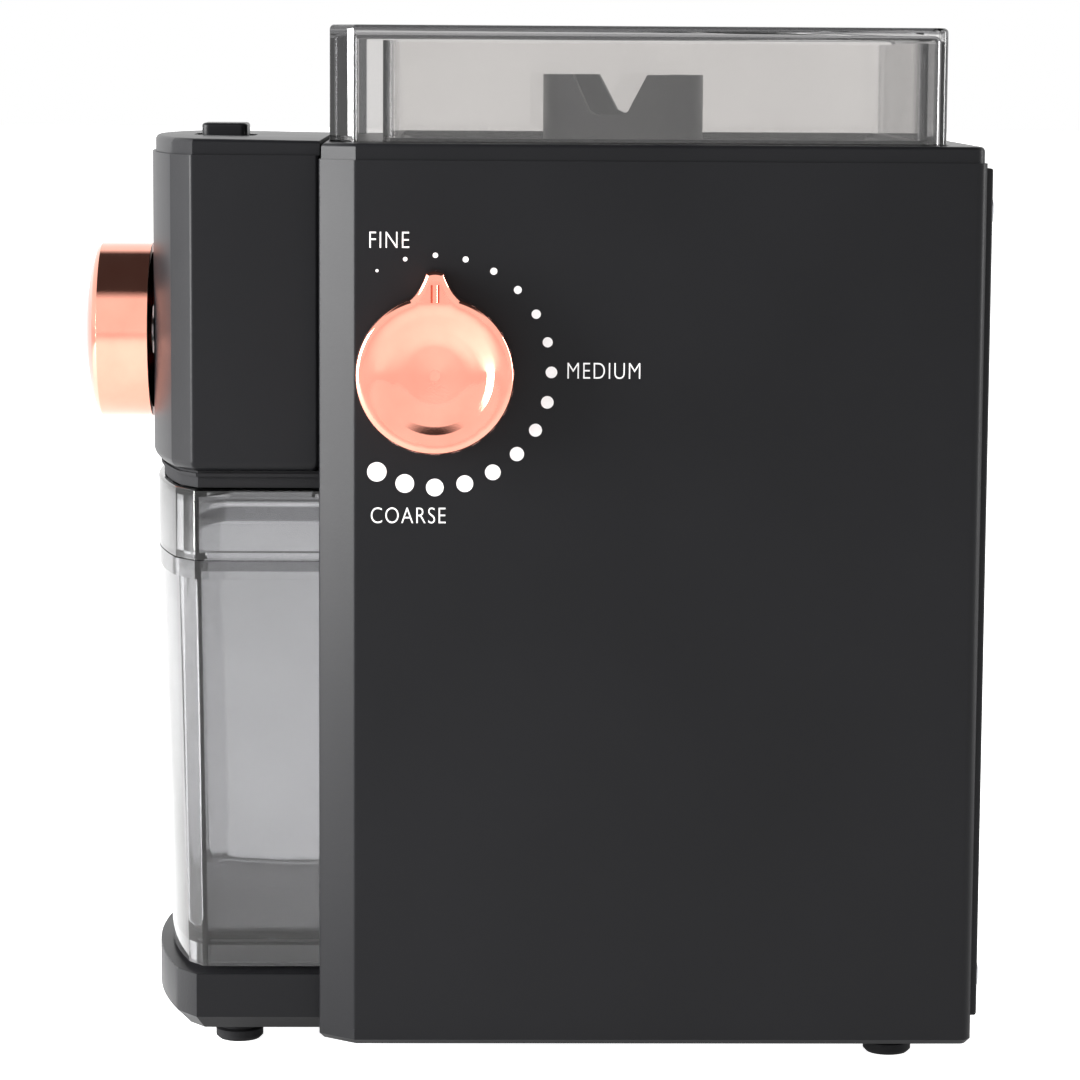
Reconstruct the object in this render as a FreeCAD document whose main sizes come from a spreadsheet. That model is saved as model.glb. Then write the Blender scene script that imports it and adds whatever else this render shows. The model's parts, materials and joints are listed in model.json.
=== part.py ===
import FreeCAD, Part
import math
import os
import re
import Sketcher

# Burr coffee grinder with a box-shaped body, a front head over a ground-coffee container, a bean
# hopper under a deep clear lid, a grind-setting knob on the right side and an amount selector in front.
# Millimetres. +Z is up, the container faces -Y, and the origin is on the table between the feet.

SIZES = {
    # main body
    "body_half": 65.1, "body_depth": 158.6, "body_front": -60, "shell_height": 209.6, "wall": 2.4,
    "foot_height": 4.8, "cap_height": 3.8, "deck_height": 3.9, "deck_inset": 0.6, "corner_long": 8.7,
    "corner_wide": 6.8, "rear_round": 3, "edge_round": 1.2, "rear_cover_thick": 1.5,
    "rear_cover_low": 2.9, "rear_cover_side": 3.1, "rear_open_side": 7.1, "rear_open_edge": 7.5,
    # front head, plinth and neck
    "side_step": 12.6, "head_reach": 43.4, "flat_back": 12.6, "corner_back": 7.2, "corner_in": 7.5,
    "head_drop": 75.3, "head_seam": 0.7, "head_cover_rear": 3.4, "head_cover_rise": 0.75,
    "head_cover_inset": 0.8, "head_round": 2.5, "neck_inset": 2.5, "neck_height": 4.1,
    "plinth_height": 14.2, "plinth_inset": 0.9, "plinth_bevel": 3.4,
    # ground-coffee container
    "bay_gap": 0.5, "bay_depth": 17, "container_gap": 1.4, "container_lift": 1.25, "skid_gap": 0.3,
    "container_inset": 1.7, "container_draft": 2.3, "container_wall": 2, "container_floor": 7,
    "lid_gap": 0.3, "lid_height": 17.2, "lid_skirt": 3.2, "rim_height": 4.4, "rim_out": 0.7,
    "seal_thick": 1.2, "gate_radius": 2.6, "gate_rise": 0.35,
    # grind knob, worm and adjusting ring
    "knob_back": 27.8, "knob_drop": 49.9, "grind_round": 18.7, "grind_reach": 12.4,
    "grind_tip": 24.5, "grind_dish": 14.5, "dish_flat": 8, "dish_wall": 11.6, "dish_depth": 2.6,
    "mark_radius": 1, "knob_gap": 0.4, "knob_edge": 1.5,
    "shaft_radius": 3, "worm_radius": 5.9, "worm_root": 4.1, "worm_half": 8, "thread_root": 1.6,
    "thread_tip": 0.9, "ring_teeth": 60, "ring_pitch_radius": 41.7, "ring_tooth": 5, "ring_rim": 38.2,
    "ring_lift": 0.3, "shelf_height": 4, "shelf_out": 3, "run": 0.05, "ring_gap": 0.4,
    # burr set, on one upright axis
    "burr_back": 74.5, "burr_radius": 25, "burr_bore": 12, "burr_thick": 5, "burr_gap": 0.4,
    "carrier_radius": 28, "holder_radius": 30.4, "chamber_wall": 3,
    "holder_thick": 5.6, "collar_radius": 20.1, "collar_wall": 2.1, "collar_top_drop": 11.7,
    "notch_top": 18.7, "notch_bottom": 9, "notch_depth": 9.8, "notch_turn": 13,
    "window_high": 14, "window_wide": 20, "drive_shaft": 4, "bearing_radius": 11, "bearing_width": 7,
    "boss_wall": 2, "chamber_radius": 34,
    # chute
    "chute_half": 13, "chute_wall": 1.6, "chute_height": 7.6, "chute_reach": 22, "chute_length": 18,
    # gearbox and motor
    "frame_drop": 93.2, "frame_thick": 3, "ledge_width": 4.7, "ledge_height": 4, "box_height": 21,
    "box_cover": 3, "chamber_floor": 4, "gear_module": 1, "pinion_teeth": 12, "idler_teeth": 48,
    "idler_pinion_teeth": 14, "output_teeth": 46, "gear_width": 4, "pin_radius": 2.5,
    "motor_offset": 43.5, "motor_radius": 26, "motor_length": 66, "can_wall": 2, "pad_height": 4,
    "rotor_radius": 18, "motor_shaft": 2.5, "fan_radius": 22, "fan_thick": 6, "bush_radius": 5,
    # hopper and lid
    "hopper_back": 15, "hopper_depth": 131, "hopper_step": 3.5, "hopper_wall_height": 23.2,
    "hopper_skin": 2, "flange_thick": 1, "funnel_depth": 22, "funnel_bore": 21, "hopper_round": 4,
    "cover_back": 2.2, "cover_depth": 148.1, "cover_height": 28.2, "cover_top": 2, "cover_groove": 0.3,
    "cover_chamfer_wide": 6.8, "cover_chamfer_long": 6,
    # front selector and start button
    "selector_radius": 21.8, "selector_drop": 44.7, "selector_length": 13.6, "selector_dome": 3,
    "selector_gap": 0.5, "selector_wall": 2.2, "timer_half": 16, "timer_depth": 15,
    "button_back": 34.7, "button_half": 5.65, "button_wide": 8, "button_rise": 3.6,
    "button_travel": 1.8, "button_gap": 0.3, "stem_radius": 2, "spring_radius": 3.6, "spring_wire": 0.7,
    "spring_turns": 4, "switch_high": 10, "switch_wide": 20, "switch_deep": 6.5,
    # feet, screws and small parts
    "foot_radius": 5.85, "foot_plug": 2.5, "front_foot_out": 13.9, "front_foot_ahead": 20.5,
    "rear_foot_out": 13.8, "rear_foot_in": 19.1, "screw_radius": 1.5, "screw_head": 2.9,
    "screw_head_high": 1.8, "boss_radius": 4.2, "boss_in": 6.4, "fit_gap": 0.02,
    "inlet_out": 40, "inlet_rise": 18, "inlet_radius": 5.5, "vent_count": 9, "vent_pitch": 6,
    "vent_width": 2.4, "vent_half": 22, "board_gap": 4.5, "board_thick": 1.6,
    # how far a corner of the two plans slides when its outline moves in by one millimetre
    "flat_slide": 0.51, "corner_slide_wide": 0.46, "corner_slide_long": 0.9, "body_slide_long": 0.345,
    "body_slide_wide": 0.49,
}

PLACES = {
    "cap_top": "foot_height + cap_height",
    "shell_top": "cap_top + shell_height",
    "deck_top": "shell_top + deck_height",
    "body_rear": "body_front + body_depth",
    "inlet_z": "cap_top + rear_open_edge + inlet_rise",
    "inner_half": "body_half - wall",
    "front_half": "body_half - side_step",
    "head_front": "body_front - head_reach",
    "head_bottom": "shell_top - head_drop",
    "head_seam_top": "shell_top + head_seam",
    "lid_top": "head_bottom - neck_height - lid_gap",
    "lid_bottom": "lid_top - lid_height",
    "plinth_top": "foot_height + plinth_height",
    "container_bottom": "plinth_top + container_lift",
    "container_rear": "body_front + bay_depth - container_gap",
    "container_half": "front_half - container_inset",
    "bay_half": "front_half - bay_gap",
    "bay_rear": "body_front + bay_depth",
    "bay_top": "head_bottom + 0.1",
    "knob_y": "body_front + knob_back",
    "knob_z": "shell_top - knob_drop",
    "burr_y": "body_front + burr_back",
    "motor_y": "burr_y + motor_offset",
    "centre_gap": "gear_module * (pinion_teeth + idler_teeth) / 2",
    "idler_y": "burr_y + motor_offset / 2",
    "idler_x": "-sqrt(centre_gap * centre_gap - motor_offset * motor_offset / 4)",
    "frame_top": "shell_top - frame_drop",
    "box_top": "frame_top + box_height",
    "chamber_base": "box_top + box_cover",
    "chamber_low": "chamber_base + chamber_floor",
    "chute_low": "chamber_low - 0.5",
    "chute_top": "chute_low + chute_height",
    "chute_front": "body_front - chute_reach",
    "shelf_low": "knob_z - 11.3",
    "shelf_top": "shelf_low + shelf_height - 0.7",
    "chamber_top": "knob_z + 16",
    "lower_burr_low": "knob_z - 2.3",
    "lower_burr_top": "lower_burr_low + burr_thick",
    "upper_burr_low": "lower_burr_top + burr_gap",
    "upper_burr_top": "upper_burr_low + burr_thick",
    "holder_top": "upper_burr_top + holder_thick",
    "cover_low": "deck_top - cover_groove",
    "cover_high": "cover_low + cover_height",
    "collar_top": "cover_high - collar_top_drop",
    "hopper_half": "front_half - hopper_step",
    "hopper_front": "body_front + hopper_back",
    "hopper_rear": "hopper_front + hopper_depth",
    "flange_top": "deck_top + flange_thick",
    "funnel_low": "deck_top - funnel_depth",
    "cover_front": "body_front + cover_back",
    "cover_rear": "cover_front + cover_depth",
    "motor_top": "frame_top - frame_thick - pad_height",
    "motor_low": "motor_top - motor_length",
    "selector_z": "shell_top - selector_drop",
    "selector_back": "head_front - selector_gap",
    "timer_front": "head_front + wall + 1.3",
    "button_y": "head_front + button_back - 16.6",
    "head_cover_low": "head_seam_top",
    "button_top": "deck_top + button_rise",
    "button_seat": "deck_top - 1.9",
    "switch_top": "button_seat - 9.2",
}

doc = FreeCAD.newDocument("grinder")
sheet = doc.addObject("Spreadsheet::Sheet", "size")
for row, (size_name, size_value) in enumerate(SIZES.items(), 1):
    sheet.set(f"A{row}", size_name)
    sheet.set(f"B{row}", str(size_value))
    sheet.setAlias(f"B{row}", size_name)
doc.recompute()

NODES = []


def ex(text):
    """The expression with its named places written out and its named sizes read from the sheet."""
    def swap(match):
        word = match.group(0)
        if word in PLACES:
            return "(" + ex(PLACES[word]) + ")"
        return "size." + word if word in SIZES else word
    return re.sub(r"[a-z][a-z_0-9]*", swap, str(text))


def val(text):
    """The expression's value now, for shapes that Part's own functions make."""
    return float(sheet.evalExpression(ex(text)))


def bind(thing, **sizes):
    for prop, text in sizes.items():
        thing.setExpression(prop, ex(text))


def put(thing, x=0, y=0, z=0):
    for axis, text in zip("xyz", (x, y, z)):
        thing.setExpression(f"Placement.Base.{axis}", ex(text))
    return thing


def node(label, thing):
    thing.Label = label
    NODES.append(thing)
    return thing


def block(x, y, z):
    """A box between a low and a high expression on each axis."""
    box = doc.addObject("Part::Box", "block")
    bind(box, Length=f"({x[1]}) - ({x[0]})", Width=f"({y[1]}) - ({y[0]})", Height=f"({z[1]}) - ({z[0]})")
    return put(box, x[0], y[0], z[0])


THREAD_TURN = 90
TURNS = {"Z": FreeCAD.Rotation(), "X": FreeCAD.Rotation(FreeCAD.Vector(0, 1, 0), 90),
         "Y": FreeCAD.Rotation(FreeCAD.Vector(1, 0, 0), -90),
         "front": FreeCAD.Rotation(FreeCAD.Vector(1, 0, 0), 90)}


def rod(radius, low, high, across=(0, 0), axis="Z"):
    """A cylinder along an axis, from low to high, at the other two coordinates."""
    cylinder = doc.addObject("Part::Cylinder", "rod")
    cylinder.Placement = FreeCAD.Placement(FreeCAD.Vector(), TURNS[axis])
    bind(cylinder, Radius=radius, Height=f"({high}) - ({low})")
    first, second = across
    places = {"X": (low, first, second), "Y": (first, low, second), "Z": (first, second, low)}
    return put(cylinder, *places[axis])


def fuse(*parts):
    if len(parts) == 1:
        return parts[0]
    joined = doc.addObject("Part::MultiFuse", "joined")
    joined.Shapes = list(parts)
    joined.Refine = True
    return joined


def cut(base, *tools):
    result = doc.addObject("Part::Cut", "cut")
    result.Base = base
    result.Tool = fuse(*tools)
    result.Refine = True
    return result


def common(base, tool):
    result = doc.addObject("Part::Common", "common")
    result.Base = base
    result.Tool = tool
    return result


def tube(outer, inner, low, high, across=(0, 0), axis="Z"):
    return cut(rod(outer, low, high, across, axis), rod(inner, f"{low} - 1", f"{high} + 1", across, axis))


def soften(base, radius, pick, kind="Part::Fillet"):
    """Round, or chamfer, the edges that pick chooses."""
    doc.recompute()
    size = val(radius)
    result = doc.addObject(kind, "softened")
    result.Base = base
    result.Edges = [(i, size, size) for i, edge in enumerate(base.Shape.Edges, 1) if pick(edge)]
    return result


def upright(edge):
    box = edge.BoundBox
    return box.ZLength > 0.5 and box.XLength < 0.01 and box.YLength < 0.01


def level(height):
    """Chooses the edges that lie flat at a height."""
    wanted = val(height)
    return lambda edge: edge.BoundBox.ZLength < 0.01 and abs(edge.BoundBox.ZMin - wanted) < 0.02


def sketch(points, arcs=(), plane="XY_Plane"):
    """A closed outline in a body of its own. Each point is a pair of expressions, and each arc, given as
    (index of its first point, middle point), takes the place of one straight side."""
    body = doc.addObject("PartDesign::Body", "body")
    outline = body.newObject("Sketcher::SketchObject", "outline")
    origin = [item for item in body.Origin.OriginFeatures if item.Role == plane][0]
    outline.AttachmentSupport = (origin, [""])
    outline.MapMode = "FlatFace"
    spots = [FreeCAD.Vector(val(x), val(y), 0) for x, y in points]
    bends = dict(arcs)
    count = len(points)
    for i, spot in enumerate(spots):
        after = spots[(i + 1) % count]
        if i in bends:
            middle = FreeCAD.Vector(val(bends[i][0]), val(bends[i][1]), 0)
            outline.addGeometry(Part.Arc(spot, middle, after), False)
        else:
            outline.addGeometry(Part.LineSegment(spot, after), False)
    for i in range(count):
        later = (i + 1) % count
        ends = [2 if k in bends and outline.Geometry[k].StartPoint.distanceToPoint(spots[k]) > 1e-4 else 1
                for k in (i, later)]
        near, far = 3 - ends[0], ends[1]
        outline.addConstraint(Sketcher.Constraint("Coincident", i, near, later, far))
        for kind, text in zip(("DistanceX", "DistanceY"), points[i]):
            pinned = outline.addConstraint(Sketcher.Constraint(kind, -1, 1, i, ends[0], val(text)))
            outline.setExpression(f"Constraints[{pinned}]", ex(text))
    for i, middle in bends.items():
        first, last = points[i], points[(i + 1) % count]
        half = f"(abs(({last[0]}) - ({first[0]})) / 2)"
        rise = f"(abs(({middle[1]}) - ({first[1]})))"
        bend = f"({half} * {half} + {rise} * {rise}) / (2 * {rise})"
        pinned = outline.addConstraint(Sketcher.Constraint("Radius", i, val(bend)))
        outline.setExpression(f"Constraints[{pinned}]", ex(bend))
    doc.recompute()
    return body, outline


def prism(points, low, high, arcs=()):
    """An outline in plan, raised from low to high."""
    body, outline = sketch(points, arcs)
    pad = body.newObject("PartDesign::Pad", "pad")
    pad.Profile = outline
    bind(pad, Length=f"({high}) - ({low})")
    return put(body, 0, 0, low)


def turned(points, at=(0, 0, 0), axis="Z"):
    """A profile of (radius, height) pairs, turned about an axis through a place."""
    body, outline = sketch(points, (), "XZ_Plane")
    spin = body.newObject("PartDesign::Revolution", "spin")
    spin.Profile = outline
    spin.ReferenceAxis = (outline, ["V_Axis"])
    spin.Angle = 360
    body.Placement = FreeCAD.Placement(FreeCAD.Vector(), TURNS[axis])
    return put(body, *at)


def feature(shape):
    thing = doc.addObject("Part::Feature", "shape")
    thing.Shape = shape
    return thing


def loft(low_outline, high_outline):
    blend = doc.addObject("Part::Loft", "blend")
    blend.Sections = [low_outline, high_outline]
    blend.Solid = True
    blend.Ruled = True
    return blend


# Plans -----------------------------------------------------------------------------------------------

def body_plan(inset="0", rear="body_rear"):
    """The main body seen from above, with both front corners cut off, moved in by inset."""
    wide = f"body_half - ({inset})"
    side = f"body_front + corner_long + body_slide_long * ({inset})"
    nose = f"body_half - corner_wide - body_slide_wide * ({inset})"
    front, back = f"body_front + ({inset})", f"{rear} - ({inset})"
    return [(f"-({wide})", back), (f"-({wide})", side), (f"-({nose})", front), (nose, front),
            (wide, side), (wide, back)]


def front_plan(inset="0", rear="body_front"):
    """The front head seen from above: flat sides, cut corners and a bowed face, moved in by inset."""
    wide = f"front_half - ({inset})"
    side = f"head_front + flat_back + flat_slide * ({inset})"
    nose = f"front_half - corner_in - corner_slide_wide * ({inset})"
    step = f"head_front + corner_back + corner_slide_long * ({inset})"
    points = [(f"-({wide})", rear), (f"-({wide})", side), (f"-({nose})", step), (nose, step),
              (wide, side), (wide, rear)]
    return points, [(2, ("0", f"head_front + ({inset})"))]


def body_prism(inset, low, high, rear="body_rear"):
    return prism(body_plan(inset, rear), low, high)


def front_prism(inset, low, high, rear="body_front"):
    points, arcs = front_plan(inset, rear)
    return prism(points, low, high, arcs)


def front_loft(low_inset, low, high_inset, high, rear="body_front"):
    """The front plan, drawn in by one inset at its foot and another at its top."""
    outlines = []
    for inset, height in ((low_inset, low), (high_inset, high)):
        body, outline = sketch(*front_plan(inset, rear))
        outlines.append(outline)
        put(body, 0, 0, height)
        doc.recompute()
        face = Part.Face(outline.Shape)
        face.translate(FreeCAD.Vector(0, 0, val(height)))
        outlines[-1] = feature(face.OuterWire)
        doc.removeObject(outline.Name)
        doc.removeObject(body.Name)
    return loft(*outlines)


def screw(across, low, high, axis="Z", head_low=True):
    """A plain machine screw whose head is at its low end, or at its high end."""
    if head_low:
        shank = rod("screw_radius", f"{low} + screw_head_high", high, across, axis)
        return fuse(rod("screw_head", low, f"{low} + screw_head_high", across, axis), shank)
    shank = rod("screw_radius", low, f"{high} - screw_head_high", across, axis)
    return fuse(rod("screw_head", f"{high} - screw_head_high", high, across, axis), shank)


def gather(parts):
    """Several alike solids that share a node."""
    group = doc.addObject("Part::Compound", "group")
    group.Links = list(parts)
    return group


SIDES = ("-1", "1")

# Main body -------------------------------------------------------------------------------------------

base_spots = [(f"{side} * (body_half - boss_in)", y) for side in SIDES
              for y in ("body_front + corner_long + boss_in + 2", "body_rear - boss_in - 2")]


def main_shell():
    outer = soften(body_prism("0", "cap_top", "shell_top"), "rear_round",
                   lambda e: upright(e) and e.BoundBox.YMin > val("body_rear") - 0.1)
    outer = soften(outer, "edge_round", lambda e: upright(e) and e.BoundBox.YMin < val("burr_y"))
    inner = body_prism("wall", "cap_top - 1", "shell_top + 1")
    rear_open = block(("rear_open_side - body_half", "body_half - rear_open_side"),
                      ("body_rear - wall - 1", "body_rear + 1"),
                      ("cap_top + rear_open_edge", "shell_top - rear_open_edge"))
    bay = block(("-(bay_half)", "bay_half"), ("body_front - 1", "body_front + wall + 1"),
                ("plinth_top", "bay_top"))
    head_way = block(("wall + 0.6 - front_half", "front_half - wall - 0.6"),
                     ("body_front - 1", "body_front + wall + 1"), ("head_bottom + wall + 1", "shell_top - 4"))
    bush_hole = rod("shaft_radius + 2.5", "inner_half - 1", "body_half + 1", ("knob_y", "knob_z"), "X")
    shell = cut(outer, inner, rear_open, bay, head_way, bush_hole)
    ledges = [block((f"{a}", f"{b}"), ("bay_rear + 3", "body_rear - wall - 4"),
                    ("frame_top - frame_thick - ledge_height", "frame_top - frame_thick"))
              for a, b in (("-(inner_half)", "ledge_width - inner_half"),
                           ("inner_half - ledge_width", "inner_half"))]
    bosses = [rod("boss_radius", "cap_top", "cap_top + 16", spot) for spot in base_spots]
    posts = [rod("2.5", "-(inner_half)", "board_gap - inner_half", (y, z), "X")
             for y in ("burr_y - 30", "burr_y + 40") for z in ("cap_top + 25", "cap_top + 85")]
    holes = [rod("screw_radius + fit_gap", "cap_top - 1", "cap_top + 14", spot) for spot in base_spots]
    node("main_shell", cut(fuse(shell, *ledges, *bosses, *posts), *holes))


def base_plate():
    """The bottom of the body, with a tongue forward under the plinth for the front feet."""
    plate = soften(body_prism("0", "foot_height", "cap_top"), "rear_round",
                   lambda e: upright(e) and e.BoundBox.YMin > val("body_rear") - 0.1)
    plate = soften(plate, "edge_round", level("foot_height"), "Part::Chamfer")
    pocket = body_prism("wall + 2", "foot_height + 2", "cap_top + 1")
    tongue = front_prism("plinth_bevel + wall + 1.2", "foot_height", "foot_height + 2",
                         "body_front + 1")
    pads = [rod("boss_radius", "foot_height", "cap_top", spot) for spot in base_spots]
    holes = [rod("screw_radius + fit_gap", "foot_height - 1", "cap_top + 1", spot) for spot in base_spots]
    sinks = [rod("screw_head + 0.1", "foot_height - 1", "foot_height + screw_head_high + 0.15", spot)
             for spot in base_spots]
    plugs = [rod("foot_plug", "foot_height - 1", "foot_height + 1.9", spot) for spot in foot_spots]
    node("base_plate", cut(fuse(cut(plate, pocket), tongue, *pads), *holes, *sinks, *plugs))


foot_spots = [(f"{side} * (front_half - front_foot_out)", "body_front - front_foot_ahead") for side in SIDES]
foot_spots += [(f"{side} * (body_half - rear_foot_out)", "body_rear - rear_foot_in") for side in SIDES]


def feet():
    soft = []
    for x, y in foot_spots:
        profile = [("0", "0"), ("foot_radius - 0.8", "0"), ("foot_radius", "0.8"), ("foot_radius", "2.6"),
                   ("foot_radius - 0.9", "3"), ("foot_radius - 0.9", "foot_height"),
                   ("foot_plug - 0.1", "foot_height"), ("foot_plug - 0.1", "foot_height + 1.7"),
                   ("0", "foot_height + 1.7")]
        soft.append(turned(profile, (x, y, "0")))
    node("feet", gather(soft))


def base_screws():
    node("base_screws", gather(screw(spot, "foot_height + 0.1", "cap_top + 12") for spot in base_spots))


def rear_cover():
    """The back panel, with its cooling slots and the hole for the mains inlet bush."""
    panel = block(("rear_cover_side - body_half", "body_half - rear_cover_side"),
                  ("body_rear", "body_rear + rear_cover_thick"),
                  ("cap_top + rear_cover_low", "shell_top - 1.2"))
    panel = soften(panel, "0.7", lambda e: e.BoundBox.YMin > val("body_rear") + 1)
    slots = []
    for bank in ("motor_low + 2", "motor_low + 72"):
        for i in range(int(SIZES["vent_count"])):
            low = f"{bank} + {i} * vent_pitch"
            slots.append(block(("-vent_half", "vent_half"), ("body_rear - 1", "body_rear + 3"),
                               (low, f"{low} + vent_width")))
    inlet = rod("inlet_radius", "body_rear - 1", "body_rear + 3", ("-inlet_out", "inlet_z"), "Y")
    holes = [rod("screw_radius + fit_gap", "body_rear - 1", "body_rear + 3", spot, "Y") for spot in rear_spots]
    node("rear_cover", cut(panel, inlet, *slots, *holes))


rear_spots = [(f"{side} * (body_half - rear_open_side - 4)", z) for side in SIDES
              for z in ("cap_top + rear_open_edge + 4", "shell_top - rear_open_edge - 4")]


def rear_frame():
    """The inner frame that the back panel is screwed to, which stands on the shell's rear opening."""
    outer = block(("rear_open_side - body_half", "body_half - rear_open_side"),
                  ("body_rear - wall", "body_rear"),
                  ("cap_top + rear_open_edge", "shell_top - rear_open_edge"))
    inner = block(("rear_open_side + 8 - body_half", "body_half - rear_open_side - 8"),
                  ("body_rear - wall - 1", "body_rear + 1"),
                  ("cap_top + rear_open_edge + 8", "shell_top - rear_open_edge - 8"))
    holes = [rod("screw_radius + fit_gap", "body_rear - 4", "body_rear + 3", spot, "Y") for spot in rear_spots]
    node("rear_frame", cut(outer, inner, *holes))


def rear_screws():
    low, high = "body_rear - wall - 1", "body_rear + rear_cover_thick + screw_head_high - 0.9"
    parts = []
    for spot in rear_spots:
        shank = rod("screw_radius", low, "body_rear + rear_cover_thick", spot, "Y")
        parts.append(fuse(shank, rod("screw_head", "body_rear + rear_cover_thick", high, spot, "Y")))
    node("rear_screws", gather(parts))


def inlet_bush():
    """The rubber bush round the mains lead's hole, with a groove that grips the back panel."""
    at = ("-inlet_out", "inlet_z")
    body = rod("inlet_radius - 0.05", "body_rear - 4", "body_rear + rear_cover_thick + 1", at, "Y")
    lip = rod("inlet_radius + 1.8", "body_rear + rear_cover_thick", "body_rear + rear_cover_thick + 1", at, "Y")
    bore = rod("inlet_radius - 2", "body_rear - 6", "body_rear + 6", at, "Y")
    node("inlet_bush", cut(fuse(body, lip), bore))


def top_deck():
    """The body's lid: a groove seats the clear cover, and an opening takes the funnel."""
    plate = soften(body_prism("deck_inset", "shell_top", "deck_top"), "rear_round",
                   lambda e: upright(e) and e.BoundBox.YMin > val("body_rear") - 1)
    plate = soften(plate, "edge_round", level("deck_top"))
    opening = hopper_box("1.5", "shell_top - 1", "deck_top + 1", "0.6")
    groove = cut(cover_prism("-0.4", "cover_low", "deck_top + 1"),
                 cover_prism("cover_top + 0.4", "cover_low - 1", "deck_top + 2"))
    posts = [block((f"{a}", f"{b}"), ("burr_y + 44", "burr_y + 64"), ("shell_top - 9", "shell_top"))
             for a, b in (("inner_half - 10", "inner_half - 4"),)]
    node("top_deck", cut(fuse(plate, *posts), opening, groove))


def bay_liner():
    """The lining of the recess behind the container."""
    outer = block(("-(bay_half) - 2", "bay_half + 2"), ("body_front + wall", "bay_rear + 2"),
                  ("plinth_top - 2", "bay_top + 2"))
    inner = block(("-(bay_half)", "bay_half"), ("body_front", "bay_rear"), ("plinth_top", "bay_top"))
    node("bay_liner", cut(outer, inner))


# Front head, neck and plinth ------------------------------------------------------------------------

def head_shell():
    outer = soften(front_prism("0", "head_bottom", "head_seam_top"), "edge_round", upright)
    outer = soften(outer, "head_round", lambda e: level("head_bottom")(e)
                   and e.BoundBox.YMin < val("body_front") - 1)
    inner = front_prism("wall", "head_bottom + wall", "head_seam_top + 1", "body_front + 1")
    chute_way = block(("-chute_half - 0.2", "chute_half + 0.2"),
                      ("chute_front - 0.2", "chute_front + chute_length + 0.2"),
                      ("head_bottom - 1", "head_bottom + wall + 1"))
    knob_way = rod("4.6", "head_front - 1", "timer_front + 1", ("0", "selector_z"), "Y")
    shelf = block(("-switch_wide / 2 - 4", "switch_wide / 2 + 4"),
                  ("button_y - switch_deep / 2 - 1", "body_front"),
                  ("switch_top - switch_high - 2.4", "switch_top - switch_high"))
    seats = [block((f"{a}", f"{b}"), ("head_front + 12", "body_front"),
                   ("switch_top - switch_high - 2.4", "switch_top - switch_high"))
             for a, b in (("wall - front_half - 0.2", "-switch_wide / 2 - 3"),
                          ("switch_wide / 2 + 3", "front_half - wall + 0.2"))]
    shelf = common(fuse(shelf, *seats), front_prism("wall - 0.2", "head_bottom", "head_seam_top"))
    node("head_shell", cut(fuse(cut(outer, inner), shelf), chute_way, knob_way))


def head_cover():
    """The head's top, which falls slightly towards the body and has the button's well."""
    low_rear, low_front = "head_cover_rear", "head_cover_rear + head_cover_rise"
    solid = front_prism("head_cover_inset", "head_cover_low", f"head_cover_low + {low_front} + 1")
    body, outline = sketch([("head_front - 5", f"head_cover_low + {low_front}"),
                            ("body_front + 5", f"head_cover_low + {low_rear}"),
                            ("body_front + 5", "head_cover_low + 12"),
                            ("head_front - 5", "head_cover_low + 12")], (), "YZ_Plane")
    pad = body.newObject("PartDesign::Pad", "pad")
    pad.Profile = outline
    pad.Midplane = True
    bind(pad, Length="4 * front_half")
    solid = cut(solid, body)
    solid = soften(solid, "edge_round", lambda e: e.BoundBox.ZMin > val("head_cover_low") + 2
                   and e.BoundBox.YMin < val("body_front") - 1)
    well = block(("-button_wide - 2", "button_wide + 2"),
                 ("button_y - button_half - 2", "button_y + button_half + 2"),
                 ("head_cover_low + 2.6", "head_cover_low + 12"))
    well = soften(well, "3", upright)
    way = button_block("button_gap", "head_cover_low - 1", "head_cover_low + 12")
    inner = front_prism("wall + 0.8", "head_cover_low - 1", "head_cover_low + 0.9", "body_front - 2")
    node("head_cover", cut(solid, well, way, inner))


def neck_seal():
    """The soft band between the head and the container's lid."""
    band = front_prism("neck_inset", "head_bottom - neck_height", "head_bottom")
    hole = block(("-chute_half - 0.2", "chute_half + 0.2"),
                 ("chute_front - 0.2", "chute_front + chute_length + 0.2"),
                 ("head_bottom - 10", "head_bottom + 1"))
    lip = cut(front_prism("neck_inset - 0.8", "head_bottom - 1.4", "head_bottom - 0.6"),
              front_prism("neck_inset + 0.1", "head_bottom - 3", "head_bottom", "body_front + 1"))
    node("neck_seal", cut(fuse(band, lip), hole))


def front_plinth():
    """The foot of the container bay. It is open below, where the base plate's tongue closes it."""
    bevel_top = "foot_height + plinth_bevel"
    outer = fuse(front_loft("plinth_inset + plinth_bevel", "foot_height", "plinth_inset", bevel_top),
                 soften(front_prism("plinth_inset", bevel_top, "plinth_top"), "0.4", level("plinth_top")))
    inner = front_prism("plinth_bevel + wall + 1", "foot_height - 1", "plinth_top - wall", "body_front + 1")
    node("front_plinth", cut(outer, inner))


# Ground-coffee container -----------------------------------------------------------------------------

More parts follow.
